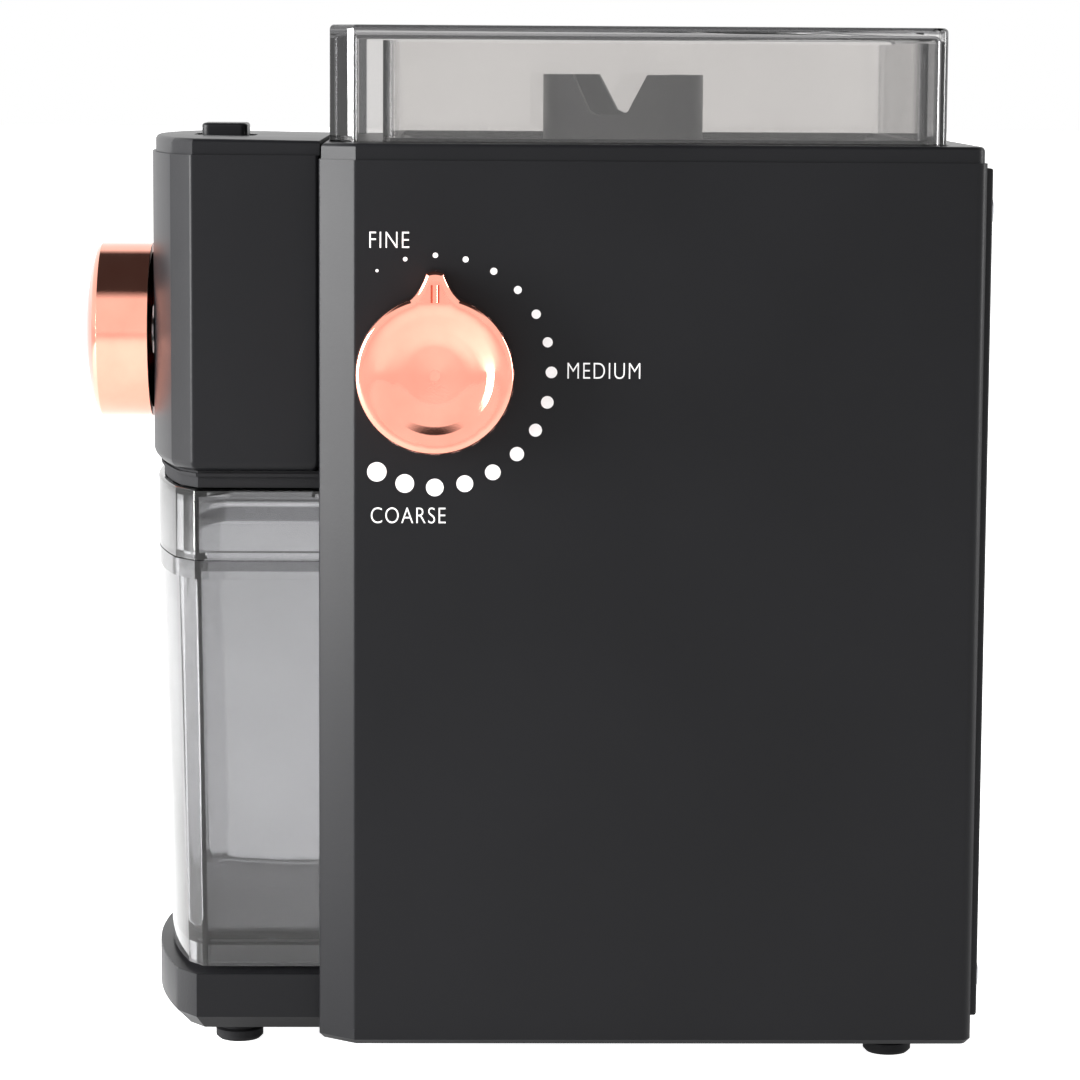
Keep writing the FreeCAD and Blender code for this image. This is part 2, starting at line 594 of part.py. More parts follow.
def container_box():
    top_inset, foot_inset = "container_inset", "container_inset + container_draft"
    wall_top, wall_foot = f"{top_inset} + container_wall", f"{foot_inset} + container_wall"
    outer = front_loft(foot_inset, "container_bottom", top_inset, "lid_bottom - 0.3", "container_rear")
    outer = soften(outer, "edge_round", lambda e: e.BoundBox.ZLength > 10)
    inner = front_loft(wall_foot, "container_bottom + container_floor", wall_top, "lid_bottom + 1",
                       "container_rear - container_wall")
    inner = soften(inner, "3", lambda e: e.BoundBox.ZMax < val("container_bottom + container_floor + 1"))
    rim = cut(front_prism(f"{top_inset} - rim_out", "lid_bottom - 0.3 - rim_height", "lid_bottom - 0.3",
                          "container_rear"),
              front_prism(f"{top_inset} + 0.2", "lid_bottom - 9", "lid_bottom + 1", "container_rear - 0.2"))
    under = front_prism(f"{foot_inset} + container_wall", "container_bottom - 1",
                        "container_bottom + container_floor - container_wall", "container_rear - container_wall")
    skids = [block((f"{side} * (container_half - 12) - 2", f"{side} * (container_half - 12) + 2"),
                   ("head_front + 16", "container_rear - 4"),
                   ("plinth_top + skid_gap", "container_bottom + container_floor - container_wall + 0.2"))
             for side in SIDES]
    floor_top = "container_bottom + container_floor"
    gate = rod("gate_radius", f"{floor_top} - 0.3", f"{floor_top} + gate_rise", ("0", "(head_front + body_front) / 2 + 8"))
    node("container_box", fuse(cut(fuse(outer, rim), inner, under), gate, *skids))


def container_seal():
    inset = "container_inset + container_wall"
    ring = cut(front_prism(inset, "lid_bottom - 5", "lid_bottom", f"container_rear - container_wall"),
               front_prism(f"{inset} + seal_thick", "lid_bottom - 6", "lid_bottom + 1",
                           "container_rear - container_wall - seal_thick"))
    node("container_seal", common(ring, front_prism(f"{inset} + 0.25", "lid_bottom - 3", "lid_bottom",
                                                    "container_rear - container_wall - 0.25")))


def container_lid():
    """A clear cap with a hole in its top that the chute drops through."""
    inset = "container_inset - rim_out"
    outer = soften(front_prism(inset, "lid_bottom", "lid_top", "container_rear"), "edge_round", upright)
    outer = soften(outer, "0.8", level("lid_top"))
    inner = front_prism(f"{inset} + container_wall", "lid_bottom - 1", "lid_top - container_wall",
                        "container_rear - container_wall")
    hole = block(("-chute_half - 1", "chute_half + 1"),
                 ("chute_front - 1", "chute_front + chute_length + 1"), ("lid_top - 5", "lid_top + 1"))
    skirt = cut(front_prism("container_inset + container_wall + seal_thick + 0.3", "lid_bottom - lid_skirt",
                            "lid_top - 0.5", "container_rear - container_wall - seal_thick - 0.3"),
                front_prism("container_inset + container_wall + seal_thick + 1.8", "lid_bottom - 9",
                            "lid_top + 1", "container_rear - container_wall - seal_thick - 1.8"))
    shelf = cut(front_prism(f"{inset} + 0.5", "lid_bottom", "lid_bottom + 1.6", "container_rear - 0.5"),
                front_prism("container_inset + container_wall + seal_thick + 0.6", "lid_bottom - 9",
                            "lid_top + 1", "container_rear - container_wall - seal_thick - 0.6"))
    skirt = cut(skirt, block(("-200", "200"), ("-200", "200"), ("lid_bottom + 1.6", "lid_top + 9")))
    node("container_lid", cut(fuse(cut(outer, inner), skirt, shelf), hole))


# Grind knob, worm and adjusting ring ------------------------------------------------------------------

def grind_knob():
    """A round dished knob with a pointer, along +X on the body's right side."""
    low, face = "body_half + knob_gap", "body_half + grind_reach"
    disc = rod("grind_round", low, face, ("knob_y", "knob_z"), "X")
    core = val("grind_round")
    reach = val("grind_tip")
    tip_half = 2.2
    slope = [(9.6, math.sqrt(core * core - 9.6 * 9.6)), (6.1, core - 1.1), (3.7, core + 1.8),
             (tip_half, reach - 0.6)]
    curve = Part.BSplineCurve()
    right = [FreeCAD.Vector(0, x, z) for x, z in slope]
    left = [FreeCAD.Vector(0, -x, z) for x, z in reversed(slope)]
    curve.interpolate(right)
    other = Part.BSplineCurve()
    other.interpolate(left)
    nose = Part.Arc(right[-1], FreeCAD.Vector(0, 0, reach), left[0])
    foot = Part.LineSegment(left[-1], right[0])
    outline = Part.Wire([curve.toShape(), nose.toShape(), other.toShape(), foot.toShape()])
    lobe = Part.Face(outline).extrude(FreeCAD.Vector(val("grind_reach - knob_gap"), 0, 0))
    pointer = feature(lobe)
    put(pointer, low, "knob_y", "knob_z")
    solid = soften(fuse(disc, pointer), "knob_edge",
                   lambda e: e.BoundBox.XMin > val("body_half + grind_reach") - 0.05)
    bowl = [("0", "-dish_depth"), ("dish_flat", "-dish_depth * 0.9"), ("dish_wall", "-dish_depth * 0.66"),
            ("(dish_wall + grind_dish) / 2", "-dish_depth * 0.34"), ("grind_dish", "0"), ("grind_dish", "2"),
            ("0", "2")]
    dish = turned(bowl, ("body_half + grind_reach", "knob_y", "knob_z"), "X")
    slot = rod("mark_radius", "knob_z + grind_round - 1.6", "knob_z + grind_tip - 3.2",
               ("body_half + grind_reach + 0.1", "knob_y"))
    hollow = tube("grind_round - 2.4", "shaft_radius + 3", f"{low} - 1", "body_half + grind_reach - 6",
                  ("knob_y", "knob_z"), "X")
    bore = rod("shaft_radius + fit_gap", f"{low} - 1", "body_half + grind_reach - 6", ("knob_y", "knob_z"), "X")
    node("grind_knob", cut(solid, dish, slot, hollow, bore))


def helix_thread(pitch, turns, radius, profile):
    """A thread of the given profile, wound about Z."""
    path = Part.makeHelix(pitch, pitch * turns, radius)
    section = Part.makePolygon([FreeCAD.Vector(radius + r, 0, h) for r, h in profile + profile[:1]])
    return Part.Wire(path.Edges).makePipeShell([section], True, True)


def knob_shaft():
    """The shaft of the grind knob, with a single-start worm that turns the adjusting ring."""
    at = ("knob_y", "knob_z")
    shaft = rod("shaft_radius", "-worm_half - 12", "body_half + grind_reach - 6.2", at, "X")
    root = rod("worm_root", "-worm_half - 1", "worm_half + 1", at, "X")
    pitch = val("2 * 3.14159265 * ring_pitch_radius / ring_teeth")
    turns = math.floor(val("2 * worm_half") / pitch)
    inner, outer = -0.4, val("worm_radius - worm_root")
    half_root, half_tip = val("thread_root / 2"), val("thread_tip / 2")
    profile = [(inner, -half_root), (outer, -half_tip), (outer, half_tip), (inner, half_root)]
    thread = helix_thread(pitch, turns, val("worm_root"), profile)
    thread.rotate(FreeCAD.Vector(), FreeCAD.Vector(0, 0, 1), THREAD_TURN)
    thread.rotate(FreeCAD.Vector(), FreeCAD.Vector(0, 1, 0), 90)
    thread = feature(thread)
    put(thread, f"{-pitch * turns / 2}", "knob_y", "knob_z")
    node("knob_shaft", fuse(shaft, root, thread))


def knob_bush():
    at = ("knob_y", "knob_z")
    bush = tube("shaft_radius + 2.5 - fit_gap", "shaft_radius + run", "inner_half - 6", "body_half", at, "X")
    collar = tube("shaft_radius + 5", "shaft_radius + run", "inner_half - 3", "inner_half", at, "X")
    node("knob_bush", fuse(bush, collar))


def worm_bracket():
    """Two uprights over the bay's roof that carry the worm shaft on each side of the chute."""
    low = "bay_top + 2"
    foot = block(("-chute_half - 7", "chute_half + 7"), ("bay_rear - 8", "bay_rear + 2"), (low, f"{low} + 3"))
    uprights = [block((f"{side} * (chute_half + 4) - 2.5", f"{side} * (chute_half + 4) + 2.5"),
                      ("bay_rear - 8", "knob_y + 5"), (low, "knob_z + 7")) for side in SIDES]
    bore = rod("shaft_radius + run", "-chute_half - 20", "chute_half + 20", ("knob_y", "knob_z"), "X")
    node("worm_bracket", cut(fuse(foot, *uprights), bore))


def toothed(teeth, pitch_radius, module, low, high, at, phase, top=0.85, root=1.2, wide=0.27, tip=0.11):
    """A straight-toothed wheel. Its first tooth points along phase, in degrees."""
    step = 2 * math.pi / teeth
    points = []
    for i in range(int(teeth)):
        middle = math.radians(phase) + i * step
        for share, radius in ((-wide, pitch_radius - root * module), (-tip, pitch_radius + top * module),
                              (tip, pitch_radius + top * module), (wide, pitch_radius - root * module)):
            angle = middle + share * step
            points.append(FreeCAD.Vector(radius * math.cos(angle), radius * math.sin(angle), 0))
    face = Part.Face(Part.makePolygon(points + points[:1]))
    wheel = feature(face.extrude(FreeCAD.Vector(0, 0, val(f"({high}) - ({low})"))))
    return put(wheel, at[0], at[1], low)


def adjusting_ring():
    """The toothed ring round the chamber, which screws the upper burr up and down."""
    at = ("0", "burr_y")
    module = val("2 * ring_pitch_radius / ring_teeth")
    teeth = toothed(val("ring_teeth"), val("ring_pitch_radius"), module, "knob_z - ring_tooth / 2",
                    "knob_z + ring_tooth / 2", at, 270, 0.6, 1.0, 0.24, 0.12)
    rim = rod("ring_rim", "shelf_top + ring_lift", "chamber_top + 4", at)
    bore = rod("chamber_radius + ring_gap", "shelf_top - 1", "chamber_top + 0.5", at)
    mouth = rod("collar_radius + 4", "chamber_top - 1", "chamber_top + 9", at)
    node("adjusting_ring", cut(fuse(rim, teeth), bore, mouth))


# Burrs and chamber -----------------------------------------------------------------------------------

def chamber_housing():
    at = ("0", "burr_y")
    cup = tube("chamber_radius", "chamber_radius - chamber_wall", "chamber_low", "chamber_top", at)
    floor = rod("chamber_radius", "chamber_base", "chamber_low", at)
    shelf = tube("chamber_radius + shelf_out", "chamber_radius - 0.5", "shelf_low + 2", "shelf_top", at)
    boss = rod("bearing_radius + boss_wall", "box_top", "chamber_base", at)
    seat = rod("bearing_radius + fit_gap", "box_top - 1", "chamber_low + 1", at)
    window = block(("-chute_half + chute_wall", "chute_half - chute_wall"),
                   ("burr_y - chamber_radius - 5", "burr_y - chamber_radius / 2"),
                   ("chamber_low", "chute_top - chute_wall"))
    way = block(("-chute_half - 0.1", "chute_half + 0.1"),
                ("burr_y - chamber_radius - 9", "burr_y - chamber_radius / 2"),
                ("chute_low - 0.1", "chute_top + 0.1"))
    way = cut(way, rod("chamber_radius", "chute_low - 1", "chute_top + 1", at))
    node("chamber_housing", cut(fuse(cup, floor, shelf, boss), seat, window, way))


def shaft_bearings():
    at = ("0", "burr_y")
    rings = [tube("bearing_radius", "drive_shaft + run", low, f"{low} + bearing_width", at)
             for low in ("frame_top + 0.5", "box_top")]
    node("shaft_bearings", gather(rings))


def burr_shaft():
    node("burr_shaft", rod("drive_shaft", "frame_top + 0.8", "lower_burr_low + 4", ("0", "burr_y")))


def burr_carrier():
    """The driven disc under the lower burr, with vanes that sweep the grounds to the chute."""
    at = ("0", "burr_y")
    disc = rod("carrier_radius", "lower_burr_low - 3", "lower_burr_low", at)
    hub = rod("drive_shaft + 5", "chamber_low + 0.6", "lower_burr_low", at)
    vanes = []
    for i in range(4):
        vane = block(("drive_shaft + 3", "carrier_radius - 0.5"), ("-1", "1"),
                     ("chamber_low + 1.2", "lower_burr_low - 2"))
        vane.Placement.Rotation = FreeCAD.Rotation(FreeCAD.Vector(0, 0, 1), 0)
        spun = doc.addObject("Part::Compound", "vane")
        spun.Links = [vane]
        spun.Placement = FreeCAD.Placement(FreeCAD.Vector(), FreeCAD.Rotation(FreeCAD.Vector(0, 0, 1), 90 * i))
        vanes.append(put(spun, "0", "burr_y", "0"))
    bore = rod("drive_shaft + fit_gap", "chamber_low - 1", "lower_burr_low + 1", at)
    node("burr_carrier", cut(fuse(disc, hub, *vanes), bore))


def burr(label, low, high, teeth_low):
    """A flat ring burr whose toothed face looks up or down, with three screw holes."""
    at = ("0", "burr_y")
    ring = tube("burr_radius", "burr_bore", low, high, at)
    depth = 1.4
    grooves = []
    face = low if teeth_low else f"{high} - {depth}"
    for i in range(24):
        groove = doc.addObject("Part::Box", "groove")
        bind(groove, Length="burr_radius", Width="1.5", Height=str(depth))
        groove.Placement = FreeCAD.Placement(FreeCAD.Vector(), FreeCAD.Rotation(FreeCAD.Vector(0, 0, 1), 15 * i))
        grooves.append(put(groove, "0", "burr_y", face))
    holes = [rod("screw_radius + fit_gap", f"{low} - 1", f"{high} + 1", spot) for spot in burr_spots]
    sinks = [rod("screw_head + 0.1", f"{low} - 1" if teeth_low else f"{high} - 2.2",
                 f"{low} + 2.2" if teeth_low else f"{high} + 1", spot) for spot in burr_spots]
    node(label, cut(ring, *grooves, *holes, *sinks))


burr_spots = [(f"{math.cos(math.radians(90 + 120 * i)):.5f} * (burr_radius + burr_bore) / 2",
               f"burr_y + {math.sin(math.radians(90 + 120 * i)):.5f} * (burr_radius + burr_bore) / 2")
              for i in range(3)]


def burr_screws():
    lower = [screw(spot, "lower_burr_low + 0.2", "lower_burr_top - 0.4", "Z", False) for spot in burr_spots]
    upper = [screw(spot, "upper_burr_low + 0.4", "upper_burr_top - 0.2") for spot in burr_spots]
    node("lower_burr_screws", gather(lower))
    node("upper_burr_screws", gather(upper))


def carrier_nut():
    nut = tube("drive_shaft + 3", "drive_shaft + fit_gap", "lower_burr_low", "lower_burr_low + 4", ("0", "burr_y"))
    node("carrier_nut", nut)


def burr_holder():
    """The removable upper burr holder. Its collar stands up into the hopper as a grip, with two notches
    in its rim, and the beans run into it through windows at the funnel's foot."""
    at = ("0", "burr_y")
    disc = rod("holder_radius", "upper_burr_top", "holder_top", at)
    collar = rod("collar_radius", "holder_top", "collar_top", at)
    bore = rod("collar_radius - collar_wall", "upper_burr_top + 2.6", "collar_top + 1", at)
    eye = rod("burr_bore", "upper_burr_top - 1", "holder_top + 1", at)
    top, foot, deep = val("notch_top / 2"), val("notch_bottom / 2"), val("notch_depth")
    corners = [(-top - 1, 1), (-top, 0), (-foot - 0.4, 0.8 - deep), (-foot + 1.4, -deep), (foot - 1.4, -deep),
               (foot + 0.4, 0.8 - deep), (top, 0), (top + 1, 1)]
    wire = Part.makePolygon([FreeCAD.Vector(-60, y, z) for y, z in corners + corners[:1]])
    notch = feature(Part.Face(wire).extrude(FreeCAD.Vector(120, 0, 0)))
    notch.Placement = FreeCAD.Placement(FreeCAD.Vector(),
                                        FreeCAD.Rotation(FreeCAD.Vector(0, 0, 1), -val("notch_turn")))
    put(notch, "0", "burr_y", "collar_top")
    windows = []
    for turn in (45, 135):
        window = doc.addObject("Part::Box", "window")
        bind(window, Length="4 * collar_radius", Width="window_wide", Height="window_high")
        window.Placement = FreeCAD.Placement(FreeCAD.Vector(), FreeCAD.Rotation(FreeCAD.Vector(0, 0, 1), turn))
        c, s = f"{math.cos(math.radians(turn)):.5f}", f"{math.sin(math.radians(turn)):.5f}"
        windows.append(put(window, f"-2 * collar_radius * {c} + window_wide / 2 * {s}",
                           f"burr_y - 2 * collar_radius * {s} - window_wide / 2 * {c}", "funnel_low + 1"))
    node("burr_holder", cut(fuse(disc, collar), bore, eye, notch, *windows))


def chute():
    """The duct from the chamber's window, under the worm, to its outlet over the container."""
    x = ("-chute_half", "chute_half")
    inner_x = ("chute_wall - chute_half", "chute_half - chute_wall")
    along = block(x, ("chute_front", "burr_y - chamber_radius + 9"), ("chute_low", "chute_top"))
    down = block(x, ("chute_front", "chute_front + chute_length"),
                 ("head_bottom - neck_height + 0.4", "chute_top"))
    way_along = block(inner_x, ("chute_front + chute_wall", "burr_y - chamber_radius + 10"),
                      ("chute_low + chute_wall", "chute_top - chute_wall"))
    way_down = block(inner_x, ("chute_front + chute_wall", "chute_front + chute_length - chute_wall"),
                     ("head_bottom - neck_height - 1", "chute_top - chute_wall"))
    drum = rod("chamber_radius + fit_gap", "chute_low - 1", "chute_top + 1", ("0", "burr_y"))
    node("chute", cut(fuse(along, down), way_along, way_down, drum))


# Gearbox and motor -----------------------------------------------------------------------------------

box_x = ("idler_x - gear_module * (idler_teeth / 2 + 2) - 3", "gear_module * (output_teeth / 2 + 2) + 3")
box_y = ("burr_y - gear_module * (output_teeth / 2 + 2) - 3", "motor_y + 12")


def mechanism_frame():
    """The plate across the shell's ledges that carries the gearbox above and the motor below."""
    plate = block(("0.2 - inner_half", "inner_half - 0.2"), ("bay_rear + 4", "body_rear - wall - 5"),
                  ("frame_top - frame_thick", "frame_top"))
    hole = rod("bush_radius + 3", "frame_top - 9", "frame_top + 1", ("0", "motor_y"))
    node("mechanism_frame", cut(plate, hole))


def gearbox_housing():
    outer = block(box_x, box_y, ("frame_top", "box_top"))
    inner = block((f"{box_x[0]} + wall", f"{box_x[1]} - wall"), (f"{box_y[0]} + wall", f"{box_y[1]} - wall"),
                  ("frame_top + 3", "box_top + 1"))
    boss = rod("bearing_radius + boss_wall", "frame_top", "frame_top + 0.5 + bearing_width", ("0", "burr_y"))
    seat = rod("bearing_radius + fit_gap", "frame_top - 1", "box_top", ("0", "burr_y"))
    pin = rod("pin_radius + fit_gap", "frame_top + 1", "frame_top + 5", ("idler_x", "idler_y"))
    way = rod("bush_radius + 3", "frame_top - 1", "frame_top + 5", ("0", "motor_y"))
    node("gearbox_housing", cut(fuse(cut(outer, inner), boss), seat, pin, way))


def gearbox_cover():
    plate = block(box_x, box_y, ("box_top", "chamber_base"))
    hole = rod("bearing_radius + boss_wall + 0.1", "box_top - 1", "chamber_base + 1", ("0", "burr_y"))
    pin = rod("pin_radius + fit_gap", "box_top - 1", "chamber_base - 1", ("idler_x", "idler_y"))
    node("gearbox_cover", cut(plate, hole, pin))


def gear_train():
    """Motor pinion, double idler and output gear, all in mesh."""
    module = val("gear_module")
    towards_motor = math.degrees(math.atan2(val("motor_y - idler_y"), -val("idler_x")))
    towards_burrs = math.degrees(math.atan2(val("burr_y - idler_y"), -val("idler_x")))

    def wheel(teeth, low, high, at, facing, gap):
        count = val(teeth)
        phase = facing + (180 / count if gap else 0)
        return toothed(count, module * count / 2, module, low, high, at, phase)

    low = "frame_top + box_height / 2 - 1.5"
    idler_at = ("idler_x", "idler_y")
    big = wheel("idler_teeth", low, f"{low} + gear_width", idler_at, towards_motor, False)
    small = wheel("idler_pinion_teeth", f"{low} + gear_width - 0.2", f"{low} + 2 * gear_width + 3", idler_at,
                  towards_burrs, False)
    bore = rod("pin_radius + run", "frame_top", "box_top", idler_at)
    node("idler_gear", cut(fuse(big, small), bore))
    node("idler_pin", rod("pin_radius", "frame_top + 1.2", "chamber_base - 1.2", idler_at))
    pinion = wheel("pinion_teeth", f"{low} - 1", f"{low} + gear_width + 1", ("0", "motor_y"),
                   towards_motor + 180, True)
    node("motor_pinion", cut(pinion, rod("motor_shaft + fit_gap", "frame_top", "box_top", ("0", "motor_y"))))
    output_low = f"{low} + gear_width + 1.2"
    output = wheel("output_teeth", output_low, f"{output_low} + gear_width", ("0", "burr_y"),
                   towards_burrs + 180, True)
    node("output_gear", cut(output, rod("drive_shaft + fit_gap", "frame_top", "box_top", ("0", "burr_y"))))


def motor():
    at = ("0", "motor_y")
    can = cut(rod("motor_radius", "motor_low", "motor_top", at),
              rod("motor_radius - can_wall", "motor_low - 1", "motor_top - 2", at),
              rod("bush_radius + fit_gap", "motor_top - 4", "motor_top + 1", at))
    node("motor_can", can)
    cap = cut(rod("motor_radius", "motor_low - 3", "motor_low", at),
              rod("bush_radius + fit_gap", "motor_low - 4", "motor_low + 1", at))
    node("motor_cap", cap)
    bushes = [tube("bush_radius", "motor_shaft + run", low, high, at)
              for low, high in (("motor_top - 4", "motor_top"), ("motor_low - 3", "motor_low + 1"))]
    node("motor_bushes", gather(bushes))
    stator = tube("motor_radius - can_wall", "rotor_radius + 0.5", "motor_low + 10", "motor_top - 10", at)
    node("motor_stator", stator)
    core = rod("rotor_radius", "motor_low + 10", "motor_top - 10", at)
    shaft = rod("motor_shaft", "motor_low - fan_thick - 6", "frame_top + box_height / 2 + 3.5", at)
    node("motor_rotor", fuse(core, shaft))
    hub = rod("motor_shaft + 3", "motor_low - fan_thick - 4.5", "motor_low - 4.5", at)
    blades = []
    for i in range(8):
        blade = doc.addObject("Part::Box", "blade")
        bind(blade, Length="fan_radius", Width="1.2", Height="fan_thick")
        blade.Placement = FreeCAD.Placement(FreeCAD.Vector(), FreeCAD.Rotation(FreeCAD.Vector(0, 0, 1), 45 * i))
        blades.append(put(blade, "0", "motor_y", "motor_low - fan_thick - 4.5"))
    disc = rod("fan_radius", "motor_low - 5.7", "motor_low - 4.5", at)
    bore = rod("motor_shaft + fit_gap", "motor_low - fan_thick - 9", "motor_low + 1", at)
    node("motor_fan", cut(fuse(hub, disc, *blades), bore))
    spots = [(f"{side} * (motor_radius - 6)", "motor_y") for side in SIDES]
    pads = [cut(rod("5", "motor_top", "frame_top - frame_thick", spot),
                rod("screw_radius + fit_gap", "motor_top - 1", "frame_top", spot)) for spot in spots]
    node("motor_mounts", gather(pads))
    node("motor_screws", gather(rod("screw_radius", "motor_top", "frame_top - frame_thick", spot)
                                for spot in spots))


def circuit_board():
    """The control board on four posts, with its transformer, relay and capacitor."""
    low = "board_gap - inner_half"
    board = block((low, f"{low} + board_thick"), ("burr_y - 34", "burr_y + 44"),
                  ("cap_top + 20", "cap_top + 92"))
    parts = [block((f"{low} + board_thick", f"{low} + board_thick + {tall}"),
                   (f"burr_y + {y}", f"burr_y + {y + wide}"),
                   (f"cap_top + {z}", f"cap_top + {z + high}"))
             for tall, y, wide, z, high in ((9, -28, 18, 30, 22), (7, -4, 14, 34, 16), (8, -26, 12, 62, 20))]
    node("circuit_board", fuse(board, *parts))


# Hopper ----------------------------------------------------------------------------------------------

def hopper_box(inset, low, high, radius):
    box = block((f"{inset} - (hopper_half)", f"hopper_half - ({inset})"),
                (f"hopper_front + ({inset})", f"hopper_rear - ({inset})"), (low, high))
    return soften(box, radius, upright)


def hopper_wall():
    outer = hopper_box("0", "flange_top", "flange_top + hopper_wall_height", "hopper_round")
    inner = hopper_box("hopper_skin", "flange_top - 1", "flange_top + hopper_wall_height + 1",
                       "hopper_round - hopper_skin")
    node("hopper_wall", cut(outer, inner))


def hopper_funnel():
    """The sloped floor under the beans. It falls from the deck's opening to a round mouth."""
    def slope(inset, low, high, mouth):
        """A solid from a round mouth up to the rectangular rim, matched angle by angle."""
        middle, radius = val("burr_y"), val(mouth)
        half = val(f"hopper_half - 2 - {inset}")
        front = middle - val(f"hopper_front + 2 + {inset}")
        back = val(f"hopper_rear - 2 - {inset}") - middle
        corners = [math.atan2(y, x) for x, y in ((half, back), (-half, back), (-half, -front), (half, -front))]
        angles = [angle for angle in (math.radians(15 * i - 180) for i in range(24))
                  if min(abs(angle - corner) for corner in corners) > 0.1]
        rim, foot = [], []
        for angle in sorted(angles + corners):
            c, n = math.cos(angle), math.sin(angle)
            reach = min(half / max(abs(c), 1e-6), (back if n > 0 else front) / max(abs(n), 1e-6))
            rim.append(FreeCAD.Vector(reach * c, middle + reach * n, val(high)))
            foot.append(FreeCAD.Vector(radius * c, middle + radius * n, val(low)))
        outlines = [Part.makePolygon(ring + ring[:1]) for ring in (foot, rim)]
        return feature(Part.makeLoft(outlines, True, True))

    outer = slope(0, "funnel_low", "deck_top", "funnel_bore + 2")
    inner = slope(2, "funnel_low - 0.2", "deck_top + 0.3", "funnel_bore + 0.1")
    flange = hopper_box("0", "deck_top", "flange_top", "hopper_round")
    hole = block(("4 - (hopper_half)", "hopper_half - 4"), ("hopper_front + 4", "hopper_rear - 4"),
                 ("deck_top - 0.2", "flange_top + 1"))
    mouth = rod("funnel_bore", "funnel_low - 1", "funnel_low + 3", ("0", "burr_y"))
    node("hopper_funnel", cut(fuse(outer, flange), inner, hole, mouth))


def cover_prism(inset, low, high):
    """The clear cover in plan, with cut front corners like the body's."""
    wide = f"front_half - ({inset})"
    side = f"cover_front + cover_chamfer_long + body_slide_long * ({inset})"
    nose = f"front_half - cover_chamfer_wide - body_slide_wide * ({inset})"
    front, back = f"cover_front + ({inset})", f"cover_rear - ({inset})"
    return prism([(f"-({wide})", back), (f"-({wide})", side), (f"-({nose})", front), (nose, front),
                  (wide, side), (wide, back)], low, high)


def hopper_cover():
    outer = soften(cover_prism("0", "cover_low", "cover_high"), "rear_round",
                   lambda e: upright(e) and e.BoundBox.YMin > val("burr_y"))
    outer = soften(outer, "edge_round", lambda e: level("cover_high")(e) or
                   (upright(e) and e.BoundBox.YMin < val("burr_y") - 20))
    inner = cover_prism("cover_top", "cover_low - 1", "cover_high - cover_top")
    inner = soften(inner, "1.5", lambda e: upright(e) or level("cover_high - cover_top")(e))
    under = "cover_high - cover_top"
    gate = rod("gate_radius", f"{under} - gate_rise", f"{under} + 0.3", ("0", "(cover_front + cover_rear) / 2"))
    node("hopper_cover", fuse(cut(outer, inner), gate))


# Selector, start button and switches ------------------------------------------------------------------

def selector_knob():
    """The front knob: a deep metallised cap with a shallow dome, along -Y."""
    profile = [("0", "0"), ("selector_radius - selector_wall", "0"), ("selector_radius", "0"),
               ("selector_radius", "selector_length - 1"), ("selector_radius - 1", "selector_length"),
               ("selector_radius * 0.75", "selector_length + selector_dome * 0.46"),
               ("selector_radius * 0.5", "selector_length + selector_dome * 0.78"),
               ("selector_radius * 0.25", "selector_length + selector_dome * 0.95"),
               ("0", "selector_length + selector_dome")]
    cap = turned(profile, ("0", "selector_back", "selector_z"), "front")
    hollow = tube("selector_radius - selector_wall", "shaft_radius + 3", "selector_back - selector_length + 3",
                  "selector_back + 1", ("0", "selector_z"), "Y")
    bore = rod("shaft_radius + fit_gap", "selector_back - selector_length + 3", "selector_back + 1",
               ("0", "selector_z"), "Y")
    node("selector_knob", cut(cap, hollow, bore))


def selector_shaft():
    node("selector_shaft", rod("shaft_radius", "selector_back - selector_length + 3.2", "timer_front + 10",
                               ("0", "selector_z"), "Y"))


def timer_switch():
    """The rotary switch behind the front knob, with its threaded neck in the head's face."""
    case = block(("-timer_half", "timer_half"), ("timer_front", "timer_front + timer_depth"),
                 ("selector_z - timer_half", "selector_z + timer_half"))
    neck = rod("4.5", "head_front - 0.2", "timer_front + 1", ("0", "selector_z"), "Y")
    bore = rod("shaft_radius + run", "head_front - 2", "timer_front + 10.5", ("0", "selector_z"), "Y")
    tabs = [block((f"{x}", f"{x} + 3"), ("timer_front + timer_depth - 1", "timer_front + timer_depth + 6"),
                  ("selector_z - 10", "selector_z - 9.2")) for x in (-10, -1.5, 7)]
    node("timer_switch", cut(fuse(case, neck, *tabs), bore))


def button_block(grow, low, high):
    half, wide = f"button_half + ({grow})", f"button_wide + ({grow})"
    cap = block((f"-({wide})", wide), (f"button_y - ({half})", f"button_y + {half}"), (low, high))
    return soften(cap, "2", upright)


def start_button():
    cap = button_block("0", "button_seat", "button_top")
    cap = soften(cap, "0.8", level("button_top"))
    stem = rod("stem_radius", "switch_top + button_travel + 0.7", "button_seat", ("0", "button_y"))
    node("start_button", fuse(cap, stem))


def button_spring():
    """The coil between the button and its switch."""
    low, high = val("switch_top + 0.4"), val("button_seat - 0.1")
    wire = val("spring_wire / 2")
    turns = val("spring_turns")
    pitch = (high - low - 2 * wire) / turns
    path = Part.makeHelix(pitch, pitch * turns, val("spring_radius"))
    circle = Part.makeCircle(wire, FreeCAD.Vector(val("spring_radius"), 0, 0), FreeCAD.Vector(0, 1, 0))
    section = Part.Wire(circle)
    coil = feature(Part.Wire(path.Edges).makePipeShell([section], True, True))
    node("button_spring", put(coil, "0", "button_y", f"switch_top + 0.4 + spring_wire / 2"))


def micro_switch(label, x, y, top):
    case = block((f"{x} - switch_wide / 2", f"{x} + switch_wide / 2"), (f"{y} - switch_deep / 2",
                 f"{y} + switch_deep / 2"), (f"{top} - switch_high", top))
    node(label, case)


def switches():
    micro_switch("start_switch", "0", "button_y", "switch_top")
    case = block(("inner_half - 10.2", "inner_half - 3.8"), ("burr_y + 44", "burr_y + 64"),
                 ("shell_top - 9 - switch_high", "shell_top - 9"))
    node("cover_switch", case)


